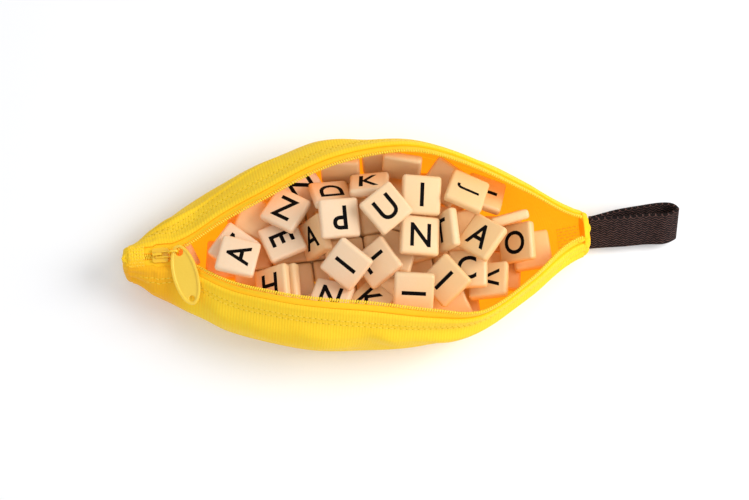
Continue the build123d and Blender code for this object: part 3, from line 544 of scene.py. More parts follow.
class Wall:
    # one side of the pouch at one place along X, measured down from the mouth
    def __init__(self, x, side, steps=24):
        self.side = side
        self.pinch = pouch["pinch"] * easeBetween(-x, halfLength - pouch["pinchLength"], halfLength)
        belly = Vector((bellyAt(x, side), bellyHeightAt(x)))
        mouth = Vector((mouthAt(x, side), smoothTable(pouch["mouthHeight"], mouthShare(x))))
        base = Vector((bellyAt(x, side) * pouch["baseHalfWidth"] / pouch["halfWidth"], baseHeightAt(x)))
        reach = belly - mouth
        tautness = (x / halfLength) ** 2
        opened = min(max((x - pouch["sliderRight"]) / pouch["openingLength"], 0.0), 1.0)
        drop = opened * (pouch["slackDrop"] + tautness * (pouch["tautDrop"] - pouch["slackDrop"]))
        pull = pouch["slackPull"] + tautness * (pouch["tautPull"] - pouch["slackPull"])
        shoulder = Vector((pouch["shoulderReach"] * reach.x, drop * reach.y))
        edge = mouth + shoulder.normalized() * pouch["tapeEdge"]
        fall = belly.y - base.y
        slack = pouch["slackPull"]
        upper = (edge, edge + shoulder, belly - Vector((0, pull * reach.y)), belly)
        lower = (belly, belly - Vector((0, slack * fall)), base + Vector((slack * (belly.x - base.x), 0)), base)
        self.line = [mouth]
        for a, b, c, d in (upper, lower):
            for step in range(steps + 1):
                t = step / steps
                s = 1 - t
                if step or a is edge:
                    self.line.append(a * s ** 3 + b * 3 * s * s * t + c * 3 * s * t * t + d * t ** 3)
        self.down = [0.0]
        for last, this in zip(self.line, self.line[1:]):
            self.down.append(self.down[-1] + (this - last).length)
        self.bellyDown, self.baseDown = self.down[1 + steps], self.down[-1]
        ways = [(b - a).normalized() for a, b in zip(self.line, self.line[1:])]
        joined = [ways[0]] + [(a + b).normalized() for a, b in zip(ways, ways[1:])] + [ways[-1]]
        self.inward = [Vector((way.y, -way.x)) for way in joined]
        self.seamDown = self.bellyDown + pouch["seamShare"] * (self.baseDown - self.bellyDown)

    def at(self, down, depth=0.0):
        # (y, z) this far down the wall and this deep inside its middle line
        span = 0
        while span < len(self.line) - 2 and self.down[span + 1] < down:
            span += 1
        share = (down - self.down[span]) / (self.down[span + 1] - self.down[span])
        point = self.line[span].lerp(self.line[span + 1], share)
        inward = self.inward[span].lerp(self.inward[span + 1], share).normalized()
        place = point + inward * depth
        # the left end is drawn together, beyond the coil
        drawn = self.pinch * max(place.x - pouch["pinchFrom"], 0.0)
        return self.side * (place.x - drawn), place.y


wallsMade = {}


def wallAt(x, side):
    key = (round(x, 7), side)
    if key not in wallsMade:
        wallsMade[key] = Wall(x, side)
    return wallsMade[key]


# how the cloth bulges and creases, always outwards from the solids' faces
creases = {
    "endPleats": 0.0016, "pleatCount": 3.5, "pleatStart": 0.086,
    "softDents": 0.0011, "creaseX": -0.006, "creaseWidth": 0.008, "creaseDepth": 0.0024,
    "foldDepth": 0.0026, "seamRidge": 0.0011, "seamWidth": 0.0010, "seamPlace": 0.60, "edgeSoftness": 0.0022,
    "grooveDepth": 0.00042, "grooveDown": 0.0093, "grooveWidth": 0.0016,
    "rollHeight": 0.0005, "rollDown": 0.0045, "rollWidth": 0.0011,
    "underTab": -0.0855, "underTabWidth": 0.013,
}


def bulge(x, down, wall, side):
    share = down / wall.seamDown
    fade = min(1.0, max(0.0, (down - pouch["tapeShown"]) / 0.006))
    ends = easeBetween(abs(x), creases["pleatStart"], halfLength)
    pleats = creases["endPleats"] * ends * (0.5 - 0.5 * cos(2 * pi * creases["pleatCount"] * share + side))
    dents = noise.noise(Vector((x * 28, share * 2.2 + side * 5, 0.4)))
    dents = creases["softDents"] * (0.5 + dents * 0.9) * (1 - ends)
    # longer folds that run slantwise between the stitching and the belly
    between = easeBetween(down, 0.0105, 0.017) * (1 - easeBetween(share, 0.55, 0.85))
    slant = 1 if side == near else -1
    folds = noise.noise(Vector(((x - slant * 0.9 * down) * 42, (down + slant * 0.3 * x) * 14, 2.3 + side)))
    folds = creases["foldDepth"] * (0.5 + folds) * between
    out = (pleats + dents) * fade + folds
    if side == near:
        lean = (x - creases["creaseX"] - 0.55 * down) / creases["creaseWidth"]
        out += creases["creaseDepth"] * between * (1 - exp(-lean * lean))
    else:
        # the seam that shows near the outline on the left of the far side
        seam = (down - creases["seamPlace"] * wall.bellyDown) / creases["seamWidth"]
        out += creases["seamRidge"] * exp(-seam * seam) * easeBetween(-x, 0.02, 0.06)
    if side == near:
        # the cloth lies flat under the pull tab
        out *= 1 - exp(-((x - creases["underTab"]) / creases["underTabWidth"]) ** 4)
    # the turned edge is a little roll, and the topstitching pulls the cloth down beside it
    roll = (down - creases["rollDown"]) / creases["rollWidth"]
    groove = (down - creases["grooveDown"]) / creases["grooveWidth"]
    return out + creases["rollHeight"] * exp(-roll * roll) - creases["grooveDepth"] * exp(-groove * groove)


# ------ side panels
panelSettings = {"across": 250, "down": 58}


def panelPoint(side):
    def place(u, v):
        x = -halfLength + u * pouch["length"]
        wall = wallAt(x, side)
        down = pouch["tapeShown"] + v * (wall.seamDown - pouch["tapeShown"])
        tuck = pouch["cloth"] * 0.25 * (1 - easeBetween(down - pouch["tapeShown"], 0, creases["edgeSoftness"]))
        y, z = wall.at(down, -panelMiddle - bulge(x, down, wall, side) + tuck)
        return Vector((x, y, z))
    return place


def panelPattern(side):
    def pattern(u, v):
        x = -halfLength + u * pouch["length"]
        wall = wallAt(x, side)
        return x, pouch["tapeShown"] + v * (wall.seamDown - pouch["tapeShown"])
    return pattern


def flatSize(piece):
    # the area of the cloth, summed over its faces; a width is worked out but not used
    width = max(wallAt(0, near).seamDown, wallAt(0, far).seamDown)
    area = sum(p.area for p in piece.data.polygons)
    return area


def makePanel(side, name):
    panel = clothGrid(name, panelSettings["across"], panelSettings["down"], panelPoint(side), panelPattern(side))
    if side == far:
        editAll(panel, bpy.ops.mesh.flip_normals)
    area = flatSize(panel)
    thicken(panel, pouch["cloth"], lining, pouchCloth)
    smoothShading(panel, 50)
    finishPiece(panel, None, "cloth", "pouch", "side_panel_" + ("near" if side == near else "far"))
    return panel


panelNear = makePanel(near, "sidePanelNear")
panelFar = makePanel(far, "sidePanelFar")
print("side panels made")


# ------ bottom panel
def bottomPoint(u, v):
    x = -halfLength + u * pouch["length"]
    nearWall, farWall = wallAt(x, near), wallAt(x, far)
    if v < 0.3:
        down = nearWall.seamDown + v / 0.3 * (nearWall.baseDown - nearWall.seamDown)
        y, z = nearWall.at(down, -panelMiddle)
    elif v > 0.7:
        down = farWall.baseDown + (v - 0.7) / 0.3 * (farWall.seamDown - farWall.baseDown)
        y, z = farWall.at(down, -panelMiddle)
    else:
        first, last = nearWall.at(nearWall.baseDown, -panelMiddle), farWall.at(farWall.baseDown, -panelMiddle)
        share = (v - 0.3) / 0.4
        y, z = first[0] + share * (last[0] - first[0]), first[1] + share * (last[1] - first[1])
    return Vector((x, y, max(z, pouch["cloth"] / 2)))


def bottomPattern(u, v):
    point = bottomPoint(u, v)
    return point.x, v * 0.09


bottomPanel = clothGrid("bottomPanel", 160, 50, bottomPoint, bottomPattern)
bottomArea = flatSize(bottomPanel)
thicken(bottomPanel, pouch["cloth"], lining, pouchCloth)
smoothShading(bottomPanel, 50)
finishPiece(bottomPanel, None, "cloth", "pouch", "bottom_panel")
print("bottom panel made")


# ------ zip tapes
def makeTape(side, name):
    def place(u, v):
        x = -halfLength + u * pouch["length"]
        return Vector((x, *wallAt(x, side).at(v * pouch["tapeWidth"])))

    def pattern(u, v):
        return -halfLength + u * pouch["length"], v * pouch["tapeWidth"]

    tape = clothGrid(name, 220, 12, place, pattern)
    if side == far:
        editAll(tape, bpy.ops.mesh.flip_normals)
    area = flatSize(tape)
    thicken(tape, pouch["tape"], tapeInside, zipTape)
    smoothShading(tape, 50)
    finishPiece(tape, None, "zip_tape", "pouch", "zip_tape_" + ("near" if side == near else "far"))
    return tape


tapeNear = makeTape(near, "zipTapeNear")
tapeFar = makeTape(far, "zipTapeFar")

# ------ zip coil: one turn, copied along each tape's edge
coil = {"pitch": 0.0012, "wide": 0.00108, "tilt": 0.22}


def makeCoilTurn():
    deselectAll()
    bpy.ops.mesh.primitive_uv_sphere_add(segments=8, ring_count=6, radius=0.5)
    turn = bpy.context.object
    turn.scale = (coil["wide"], pouch["toothReach"], pouch["toothHeight"])
    settleInPlace(turn)
    for vertex in turn.data.vertices:
        # squarer ends, so that the turns read as wire bent over the tape's edge
        share = abs(vertex.co.y) / (pouch["toothReach"] / 2)
        fuller = 1 + 0.35 * min(share, 0.8)
        vertex.co.x *= min(fuller, 1.3)
        vertex.co.z *= min(fuller, 1.25)
        vertex.co.x += coil["tilt"] * vertex.co.y
    return turn


def mouthEdge(side, count=700):
    # close points along the tape's edge, each with the direction out of the tape
    line = []
    for number in range(count + 1):
        x = -halfLength + number / count * (pouch["length"] - 0.0012)
        wall = wallAt(x, side)
        edge, inner = wall.at(0), wall.at(pouch["tapeEdge"])
        line.append((Vector((x, *edge)), Vector((0, edge[0] - inner[0], edge[1] - inner[1])).normalized()))
    return line


def along(line, pitch, start):
    # evenly spaced places on a line of (point, direction)
    wanted, travelled = start, 0.0
    for (first, firstOut), (last, lastOut) in zip(line, line[1:]):
        length = (last - first).length
        while wanted < travelled + length:
            share = (wanted - travelled) / length
            yield first.lerp(last, share), (last - first).normalized(), firstOut.lerp(lastOut, share).normalized()
            wanted += pitch
        travelled += length


def makeCoil(side, name, start):
    places = []
    for point, way, out in along(mouthEdge(side), coil["pitch"], start):
        up = way.cross(out).normalized() * -side
        across = up.cross(way).normalized() * side
        across = across if across.dot(out) > 0 else -across
        middle = point + across * (pouch["toothSeat"] + pouch["toothReach"] / 2)
        places.append(axesAt(middle, way, across, way.cross(across)))
    piece = repeated(name, makeCoilTurn(), places)
    return finishPiece(piece, zipCoil, "zip_teeth", "pouch", "zip_teeth_" + ("near" if side == near else "far"))


def makeCore():
    # the woven core that fills the gap under the closed coil
    def place(u, v):
        x = -halfLength + u * (pouch["partingX"] + halfLength)
        z = smoothTable(pouch["mouthHeight"], mouthShare(x)) - pouch["toothHeight"] * 0.30
        return Vector((x, (0.5 - v) * 2 * (pouch["closedEdge"] + 0.0006), z))

    core = clothGrid("zipCore", 14, 4, place, lambda u, v: (u * 0.014, v * 0.0034))
    thicken(core, 0.0003, zipTape)
    smoothShading(core, 40)
    return finishPiece(core, None, "zip_tape", "pouch")


zipCore = makeCore()
coilNear = makeCoil(near, "zipCoilNear", 0.0006)
coilFar = makeCoil(far, "zipCoilFar", 0.0012)
print("zip made")

# ------ stitches: one stitch, copied along each row
stitchSettings = {"length": 0.0019, "wide": 0.00050, "high": 0.00036, "pitch": 0.0029}
holeSizes = (0.00085, 0.00070, 0.00032)


def makeStitch(length, wide, high):
    deselectAll()
    bpy.ops.mesh.primitive_uv_sphere_add(segments=6, ring_count=5, radius=0.5, rotation=(0, pi / 2, 0))
    stitch = bpy.context.object
    stitch.scale = (high, wide, length)
    settleInPlace(stitch)
    return stitch


def rowOnPanel(side, downAt, firstX, lastX, lift=0.00005):
    # a line on a panel's outer face, with the direction out of the cloth
    line = []
    count = int((lastX - firstX) / 0.001)
    for number in range(count + 1):
        x = firstX + (lastX - firstX) * number / count
        wall = wallAt(x, side)
        down = downAt(x, wall)
        outer = -panelOutside - bulge(x, down, wall, side) - lift
        y, z = wall.at(down, outer)
        innerY, innerZ = wall.at(down, outer + 0.001)
        line.append((Vector((x, y, z)), Vector((0, y - innerY, z - innerZ)).normalized()))
    return line


def stitchRow(name, lines, pitch, sizes):
    # the stitches, and painted shade for the needle holes between them
    places, holes = [], []
    for number, line in enumerate(lines):
        for point, way, out in along(line, pitch / 2, pitch * (0.3 + 0.45 * (number % 2))):
            across = out.cross(way).normalized()
            wanted = places if len(places) == len(holes) else holes
            wanted.append(axesAt(point, way, across, out))
    row = repeated(name, makeStitch(*sizes), places)
    holeShadeRow = repeated(name + "Holes", makeStitch(*holeSizes), holes)
    finishPiece(holeShadeRow, holeAndCreaseShade, "cloth", "pouch")
    return finishPiece(row, thread, "cloth", "pouch")


stitchSizes = (stitchSettings["length"], stitchSettings["wide"], stitchSettings["high"])
edgeRows = []
for side in (near, far):
    for offset in (-0.0010, 0.0010):
        edgeRows.append(rowOnPanel(side, lambda x, wall, offset=offset: creases["grooveDown"] + offset,
                                   -halfLength + 0.002, halfLength - 0.002))
edgeStitches = stitchRow("edgeStitches", edgeRows, stitchSettings["pitch"], stitchSizes)
seamRows = [rowOnPanel(far, lambda x, wall: creases["seamPlace"] * wall.bellyDown - 0.0022,
                       -halfLength + 0.002, -0.06)]
seamStitches = stitchRow("seamStitches", seamRows, stitchSettings["pitch"], stitchSizes)


def rowOnTape(side, down):
    # a line on the tape's outer face
    line = []
    for number in range(220):
        x = -halfLength + 0.0015 + (pouch["length"] - 0.003) * number / 219
        wall = wallAt(x, side)
        outer, inner = wall.at(down, -pouch["tape"] / 2 - 0.00005), wall.at(down, 0.0)
        line.append((Vector((x, *outer)), Vector((0, outer[0] - inner[0], outer[1] - inner[1])).normalized()))
    return line


def makeShadeLine(name, lines, wide):
    # a narrow line of overlapping dashes in the crease where one cloth meets another
    places = [axesAt(point, way, out.cross(way).normalized(), out)
              for line in lines for point, way, out in along(line, 0.0022, 0.001)]
    piece = repeated(name, makeStitch(0.0034, wide, 0.0003), places)
    return finishPiece(piece, holeAndCreaseShade, "cloth", "pouch")


foldLines = [rowOnTape(side, pouch["tapeShown"] - 0.0001) for side in (near, far)]
foldShade = makeShadeLine("foldShade", foldLines, 0.0005)
seamLines = [rowOnPanel(far, lambda x, wall: creases["seamPlace"] * wall.bellyDown + 0.0012,
                        -halfLength + 0.002, -0.045)]
seamShade = makeShadeLine("seamShade", seamLines, 0.0005)
print("stitching made")

# ------ gathered ends: blunt caps with folds drawn together
gather = {"folds": 9, "foldDepth": 0.05, "thickness": 0.0005,
          "left": {"length": 0.0036, "bluntness": 0.5}, "right": {"length": 0.0030, "bluntness": 0.30}}


def endOutline(x, share):
    # once round the pouch's end: down the near side, up the far side, across the mouth
    side, turns = (near, share / 0.45) if share < 0.45 else (far, (0.9 - share) / 0.45)
    wall = wallAt(x, side)
    if share <= 0.9:
        down = turns * wall.baseDown
        lapped = easeBetween(down, pouch["tapeShown"] - 0.003, pouch["tapeShown"])
        return wall.at(down, -pouch["tape"] / 2 - lapped * (panelOutside - pouch["tape"] / 2))
    first = Vector(wallAt(x, far).at(0, -pouch["tape"] / 2))
    last = Vector(wallAt(x, near).at(0, -pouch["tape"] / 2))
    step = (share - 0.9) / 0.1
    return tuple(first.lerp(last, step) + Vector((0, 0.0005 * sin(pi * step))))


def makeGather(direction, name, replaced):
    rootX = direction * halfLength
    middle = Vector((0.0, bellyHeightAt(rootX)))
    settings = gather["right" if direction > 0 else "left"]

    def place(u, v):
        closing = cos(v * pi / 2) ** settings["bluntness"] if v < 0.999 else 0.0
        reach = sin(v * pi / 2)
        edge = Vector(endOutline(rootX, u))
        fold = 1 + gather["foldDepth"] * reach * sin(2 * pi * gather["folds"] * u)
        fold += 0.4 * gather["foldDepth"] * reach * sin(2 * pi * 23 * u + 1.0)
        at = middle + (edge - middle) * closing * min(fold, 1.04)
        bumpOut = 1 + 0.22 * reach * noise.noise(Vector((u * 9, v * 3, direction * 2.0)))
        return Vector((rootX + direction * settings["length"] * reach * bumpOut, at.x, at.y))

    def pattern(u, v):
        return u * 0.1, v * 0.02

    piece = clothGrid(name, 110, 20, place, pattern)
    editAll(piece, lambda: bpy.ops.mesh.remove_doubles(threshold=0.00002),
            lambda: bpy.ops.mesh.normals_make_consistent(inside=False))
    if sum(p.normal.x * p.area for p in piece.data.polygons) * direction < 0:
        editAll(piece, bpy.ops.mesh.flip_normals)
    thicken(piece, gather["thickness"], pouchCloth, lining)
    smoothShading(piece, 80)
    return finishPiece(piece, None, "cloth", "pouch", replaced)


leftGather = makeGather(-1, "leftGather", "left_end_gather")
rightGather = makeGather(1, "rightGather", "right_end_gather")

# the folded edge of the tape runs on round each end's tip
tipFold = {"startBack": 0.0035, "across": 0.0019, "high": 0.0026, "reach": 0.0026}


def makeTipFold(direction, name):
    # a flattened roll of cloth from the far lip round the tip to the near lip
    backX = direction * (halfLength - tipFold["startBack"])
    tipX = direction * halfLength
    ends = [Vector((backX, *wallAt(backX, side).at(0.0012))) for side in (far, near)]
    knees = [Vector((tipX, *wallAt(tipX, side).at(0.0012))) for side in (far, near)]
    crown = (knees[0] + knees[1]) / 2 + Vector((direction * tipFold["reach"], 0, -0.0006))
    line = [ends[0], knees[0].lerp(ends[0], 0.3), knees[0].lerp(crown, 0.45), crown,
            knees[1].lerp(crown, 0.45), knees[1].lerp(ends[1], 0.3), ends[1]]

    def centre(u):
        place = u * (len(line) - 1)
        first = min(int(place), len(line) - 2)
        step = place - first
        before, after = line[max(first - 1, 0)], line[min(first + 2, len(line) - 1)]
        a, b = line[first], line[first + 1]
        startWay, endWay = (b - before) / 2, (after - a) / 2
        return (a * (2 * step ** 3 - 3 * step * step + 1) + startWay * (step ** 3 - 2 * step * step + step)
                + b * (3 * step * step - 2 * step ** 3) + endWay * (step ** 3 - step * step))

    def place(u, v):
        way = (centre(min(u + 0.01, 1)) - centre(max(u - 0.01, 0))).normalized()
        across = way.cross(Vector((0, 0, 1))).normalized()
        angle = 2 * pi * v
        taper = 0.55 + 0.45 * sin(pi * min(max(u, 0.04), 0.96)) ** 0.5
        wide, high = tipFold["across"] / 2 * taper, tipFold["high"] / 2 * taper
        crease = 1 - 0.22 * exp(-((v - 0.25) / 0.05) ** 2)
        return centre(u) + across * cos(angle) * wide + Vector((0, 0, 1)) * sin(angle) * high * crease

    def pattern(u, v):
        return u * 0.02, v * 0.007

    piece = clothGrid(name, 60, 24, place, pattern)
    editAll(piece, lambda: bpy.ops.mesh.remove_doubles(threshold=0.00001),
            lambda: bpy.ops.mesh.normals_make_consistent(inside=False))
    smoothShading(piece, 70)
    return finishPiece(piece, zipTape, "zip_tape", "pouch")


rightTipFold = makeTipFold(1, "rightTipFold")
leftTipFold = makeTipFold(-1, "leftTipFold")

# ------ sewn patches, covered in rows of stitches both ways
patches = {
    "zipEnd": {"length": 0.008, "width": 0.011, "slope": 0.0, "cloth": pouchCloth},
    # the tack patch wears the inside faces' painted shade and glow
    "strapTack": {"length": 0.012, "width": 0.011, "slope": radians(28), "cloth": lining},
    "thickness": 0.001, "rowPitch": 0.0014,
}


def makePatch(name, replaced, settings, middle):
    # a thin pad standing on the CAD patch's underside, quilted by its stitching
    slope = settings["slope"]
    lengthWay = Vector((cos(slope), 0, sin(slope)))
    widthWay = Vector((0, 1, 0))
    up = Vector((-sin(slope), 0, cos(slope)))
    half = patches["thickness"] / 2

    def place(u, v):
        a, b = (u - 0.5) * settings["length"], (v - 0.5) * settings["width"]
        ridge = 0.00022 * abs(sin(pi * a / patches["rowPitch"])) + 0.00018 * abs(sin(pi * b / patches["rowPitch"]))
        edge = min(settings["length"] / 2 - abs(a), settings["width"] / 2 - abs(b))
        crown = easeBetween(edge, 0, 0.0012)
        return Vector(middle) + lengthWay * a + widthWay * b + up * (ridge * crown - 0.0003)

    def pattern(u, v):
        return u * settings["length"], v * settings["width"]

    patch = clothGrid(name, 44, 44, place, pattern)
    thicken(patch, patches["thickness"] - 0.0004)
    roundEdges(patch, 0.0002, 2, 60)
    smoothShading(patch, 60)
    finishPiece(patch, settings["cloth"], "cloth", "pouch", replaced)
    places = []
    rows = int(settings["width"] / patches["rowPitch"])
    columns = int(settings["length"] / patches["rowPitch"])
    for row in range(rows):
        for column in range(columns):
            a = (column + 0.5) / columns * settings["length"] - settings["length"] / 2
            b = (row + 0.5) / rows * settings["width"] - settings["width"] / 2
            point = Vector(middle) + lengthWay * a + widthWay * b + up * (half - 0.0001)
            places.append(axesAt(point, lengthWay, widthWay, up))
            if column % 2 == row % 2:
                places.append(axesAt(point + lengthWay * 0.0006, widthWay, lengthWay, up))
    stitches = repeated(name + "Stitches", makeStitch(0.00115, 0.00042, 0.0004), places)
    finishPiece(stitches, thread, "cloth", "pouch")
    return patch


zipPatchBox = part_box("zip_end_patch")
zipPatch = makePatch("zipEndPatch", "zip_end_patch", patches["zipEnd"], (zipPatchBox[0] + zipPatchBox[1]) / 2)
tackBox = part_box("strap_tack_patch")
strapTack = makePatch("strapTackPatch", "strap_tack_patch", patches["strapTack"], (tackBox[0] + tackBox[1]) / 2)
print("ends and patches made")


# ------ slider, link and pull tab: copies of the solids with their edges rounded
def copyOf(name, node):
    piece = bpy.data.objects.new(name, frame["nodes"][node].data.copy())
    piece.data.name = name
    bpy.context.scene.collection.objects.link(piece)
    editAll(piece, lambda: bpy.ops.mesh.remove_doubles(threshold=0.000002))
    return piece


def roundedCopy(name, node, width, segments, angle=30):
    piece = copyOf(name, node)
    editAll(piece, lambda: bpy.ops.mesh.dissolve_limited(angle_limit=radians(1.5)))
    roundEdges(piece, width, segments, angle)
    smoothShading(piece, 35)
    return piece


def mouldedCopy(name, node, cell, rounds):
    # an even mesh of the same form, whose edges are softened as in moulded plastic
    piece = copyOf(name, node)
    even = piece.modifiers.new("even", "REMESH")
    even.mode = "VOXEL"
    even.voxel_size = cell
    soft = piece.modifiers.new("soft", "SMOOTH")
    soft.factor = 0.5
    soft.iterations = rounds
    applyModifiers(piece)
    smoothShading(piece, 60)
    return piece


slider = finishPiece(roundedCopy("zipSlider", "slider", 0.00022, 3), paintedMetal, "slider", "slider", "slider")
pullLink = finishPiece(roundedCopy("pullLink", "pull_link", 0.0002, 3, 50), paintedMetal, "slider", "link", "pull_link")
pullTab = finishPiece(mouldedCopy("pullTab", "pull_tab", 0.00018, 3), tabPlastic, "pull_tab", "tab", "pull_tab")
print("slider and tab made")

# ------ strap: a band of brown webbing folded into a loop, leaning on its edge
strap = {
    "rootX": 0.1168, "middleZ": None, "lean": radians(31), "width": 0.020,
    "thickness": 0.0015, "length": 0.046, "bow": 0.0055,
    "ribPitch": 0.0022, "foot": 0.0006,
}
strap["middleZ"] = (strap["foot"] + strap["width"] * cos(strap["lean"]) / 2
                    + (strap["bow"] + 2 * strap["thickness"]) * sin(strap["lean"]))


def loopLine():
    # round the loop in the band's own plane, from the sewn end's near face to its far face
    length, thick, bow = strap["length"], strap["thickness"], strap["bow"]
    corners = [
        (thick, -thick), (0.34 * length, -thick), (0.62 * length, -0.7 * thick),
        (0.84 * length, -1.3 * thick), (0.97 * length, 0.1 * bow), (length, 0.55 * bow),
        (0.94 * length, bow + thick), (0.80 * length, bow + 1.7 * thick),
        (0.55 * length, bow + 0.6 * thick), (0.28 * length, 0.6 * bow + thick), (thick, thick),
    ]
    corners = [Vector(c) for c in corners]
    spans = [sqrt((b - a).length) for a, b in zip(corners, corners[1:])]
    line = []
    for number in range(len(corners) - 1):
        a, b = corners[number], corners[number + 1]
        before = corners[number - 1] if number else a * 2 - b
        after = corners[number + 2] if number + 2 < len(corners) else b * 2 - a
        startWay, endWay = (b - before) / 2, (after - a) / 2
        for step in range(12):
            t = step / 12
            line.append(a * (2 * t ** 3 - 3 * t * t + 1) + startWay * (t ** 3 - 2 * t * t + t)
                        + b * (3 * t * t - 2 * t ** 3) + endWay * (t ** 3 - t * t))
    line.append(corners[-1])
    return line


def makeStrap():
    outer = loopLine()
    ways = [(b - a).normalized() for a, b in zip(outer, outer[1:])]
    ways = [ways[0]] + [(a + b).normalized() for a, b in zip(ways, ways[1:])] + [ways[-1]]
    line = [p + Vector((-w.y, w.x)) * strap["thickness"] / 2 for p, w in zip(outer, ways)]
    # the sewn ends reach back to the pouch
    line = [Vector((0.0, -strap["thickness"] / 2))] + line + [Vector((0.0, strap["thickness"] / 2))]
    travelled = [0.0]
    for a, b in zip(line, line[1:]):
        travelled.append(travelled[-1] + (b - a).length)
    planeY = Vector((0, cos(strap["lean"]), -sin(strap["lean"])))
    bandWay = Vector((0, sin(strap["lean"]), cos(strap["lean"])))
    origin = Vector((strap["rootX"], 0, strap["middleZ"]))
    last = len(line) - 1

    def at(u):
        number = min(int(u * last + 1e-6), last - 1)
        share = u * last - number
        return line[number].lerp(line[number + 1], share), travelled[number] + share * (travelled[number + 1] - travelled[number])

    def place(u, v):
        point, _ = at(u)
        across = (v - 0.5) * strap["width"]
        wave = 0.0002 * sin(2 * pi * at(u)[1] / 0.031)
        return origin + Vector((point.x, 0, 0)) + planeY * (point.y + wave) + bandWay * across

    def pattern(u, v):
        return at(u)[1], (v - 0.5) * strap["width"]

    band = clothGrid("webbingLoop", last, 18, place, pattern)
    thicken(band, strap["thickness"])
    roundEdges(band, 0.0005, 3, 60)
    smoothShading(band, 60)
    return band


def makeWebbing():
    # herringbone webbing: chevrons of brown yarn with pinkish threads between
    material, tree, shader, coordinates = startMaterial(
        "strapWebbing", 0.85, Sheen_Weight=0.03, Specular_IOR_Level=0.08)
    parts = tree.nodes.new("ShaderNodeSeparateXYZ")
    tree.links.new(coordinates.outputs["UV"], parts.inputs[0])
    column = calc(tree, "DIVIDE", parts.outputs[0], 0.0032)
    zigzag = calc(tree, "ABSOLUTE", calc(tree, "SUBTRACT", calc(tree, "FRACT", column), 0.5))
    slanted = calc(tree, "MULTIPLY_ADD", zigzag, 0.0024, parts.outputs[1])
    turns = calc(tree, "DIVIDE", slanted, 0.0016)
    wave = calc(tree, "SINE", calc(tree, "MULTIPLY", turns, 2 * pi))
    yarn = calc(tree, "SINE", calc(tree, "MULTIPLY", calc(tree, "DIVIDE", parts.outputs[1], 0.00055), 2 * pi))
    fuzz = tree.nodes.new("ShaderNodeTexNoise")
    fuzz.inputs["Scale"].default_value = 700.0
    fuzz.inputs["Detail"].default_value = 3.0
    tree.links.new(coordinates.outputs["Object"], fuzz.inputs["Vector"])
    broken = calc(tree, "MULTIPLY_ADD", fuzz.outputs[0], 1.6, -0.8)
    lit = calc(tree, "ADD", wave, broken)
    sharp = tree.nodes.new("ShaderNodeMapRange")
    sharp.inputs["From Min"].default_value = 0.55
    sharp.inputs["From Max"].default_value = 0.95
    tree.links.new(lit, sharp.inputs["Value"])
    tone = useGroup(tree, mottleGroup, coordinates.outputs["Object"], Base=(0.009, 0.0042, 0.0034, 1),
                    Deep=(0.006, 0.0028, 0.0024, 1), Scale=120.0, Amount=0.6)
    colour = blendColours(tree, calc(tree, "MULTIPLY", sharp.outputs[0], 0.75), tone.outputs["Color"],
                          (0.17, 0.080, 0.065, 1))
    tree.links.new(colour, shader.inputs["Base Color"])
    rough = calc(tree, "MULTIPLY_ADD", tone.outputs["Mask"], 0.15, 0.7)
    tree.links.new(rough, shader.inputs["Roughness"])
    height = calc(tree, "MULTIPLY_ADD", yarn, 0.3, wave)
    addBump(tree, shader, height, 0.00018)
    return material


webbing = makeWebbing()
webbingLoop = makeStrap()
webbingLoop.data.materials.clear()
webbingLoop.data.materials.append(webbing)
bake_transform(webbingLoop)
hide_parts("strap_loop")
print("strap made")

# ------ tiles: one tile, copied to the place of each solid tile, with its letter
tileSettings = {
    "side": 0.0195, "thickness": 0.0048, "corner": 0.0017, "edge": 0.0007,
    "letterHeight": 0.0118, "inkLift": 0.00002, "inkDepth": 0.00004, "boldness": 0.00022,
}
# each tile's letter and the direction that the letter's top points, in degrees from +X
tileLetters = {
    "end_shard": ("", 114), "far_n": ("N", 51), "turned_e": ("E", 20), "big_a": ("A", 164),
    "low_h": ("H", 92), "strip_h": ("", 92), "fan_z": ("Z", 56), "far_z": ("Z", 30),
    "steep_a": ("A", 100), "far_d": ("D", 188), "rim_a": ("", 355), "leaning_k": ("K", 88),
    "rim_b": ("", 358), "rim_c": ("", 346), "upturned_p": ("P", 272), "top_u": ("U", 126),
    "top_i": ("I", 84), "leaning_i": ("I", 136), "flat_l": ("L", 31), "low_n": ("N", 69),
    "low_k": ("K", 40), "low_o": ("", 75), "tall_n": ("N", 84), "steep_t": ("T", 92),
    "far_j": ("J", 336), "far_bar": ("I", 160), "tip_a": ("", 50), "rim_d": ("", 102),
    "round_o": ("O", 88), "slant_a": ("A", 50), "low_c": ("C", 85), "low_v": ("V", 355),
    "slant_i": ("I", 37), "near_i": ("I", 353), "near_flat": ("", 20),
}


# the tiles deeper in the heap or near the cloth, which take a darker, more orange copy of the tile colour: painted
# shade and painted light bounced from the cloth
shadeTintedTiles = ("end_shard", "low_h", "strip_h", "steep_a", "low_k", "low_o", "rim_a", "rim_b",
            "rim_c", "far_bar", "tip_a", "rim_d", "round_o", "low_c", "low_v", "near_flat",
            "steep_t")


def makeBlankTile():
    # a cube, its four upright corners rounded first and then every edge of both faces
    deselectAll()
    bpy.ops.mesh.primitive_cube_add(size=1)
    tile = bpy.context.object
    tile.scale = (tileSettings["side"], tileSettings["side"], tileSettings["thickness"])
    settleInPlace(tile)
    bpy.ops.object.mode_set(mode="EDIT")
    bpy.ops.mesh.select_all(action="DESELECT")
    bpy.ops.object.mode_set(mode="OBJECT")
    for edge in tile.data.edges:
        a, b = (tile.data.vertices[i].co for i in edge.vertices)
        edge.select = abs(a.z - b.z) > tileSettings["thickness"] / 2
    bpy.ops.object.mode_set(mode="EDIT")
    bpy.ops.mesh.select_mode(type="EDGE")
    bpy.ops.mesh.bevel(offset=tileSettings["corner"], segments=4)
    bpy.ops.object.mode_set(mode="OBJECT")
    roundEdges(tile, tileSettings["edge"], 3, 60)
    return tile


def tileFrame(points, turn):
    # middle of a solid tile, from its own corners
    middle = sum(points, Vector()) / len(points)
    return middle


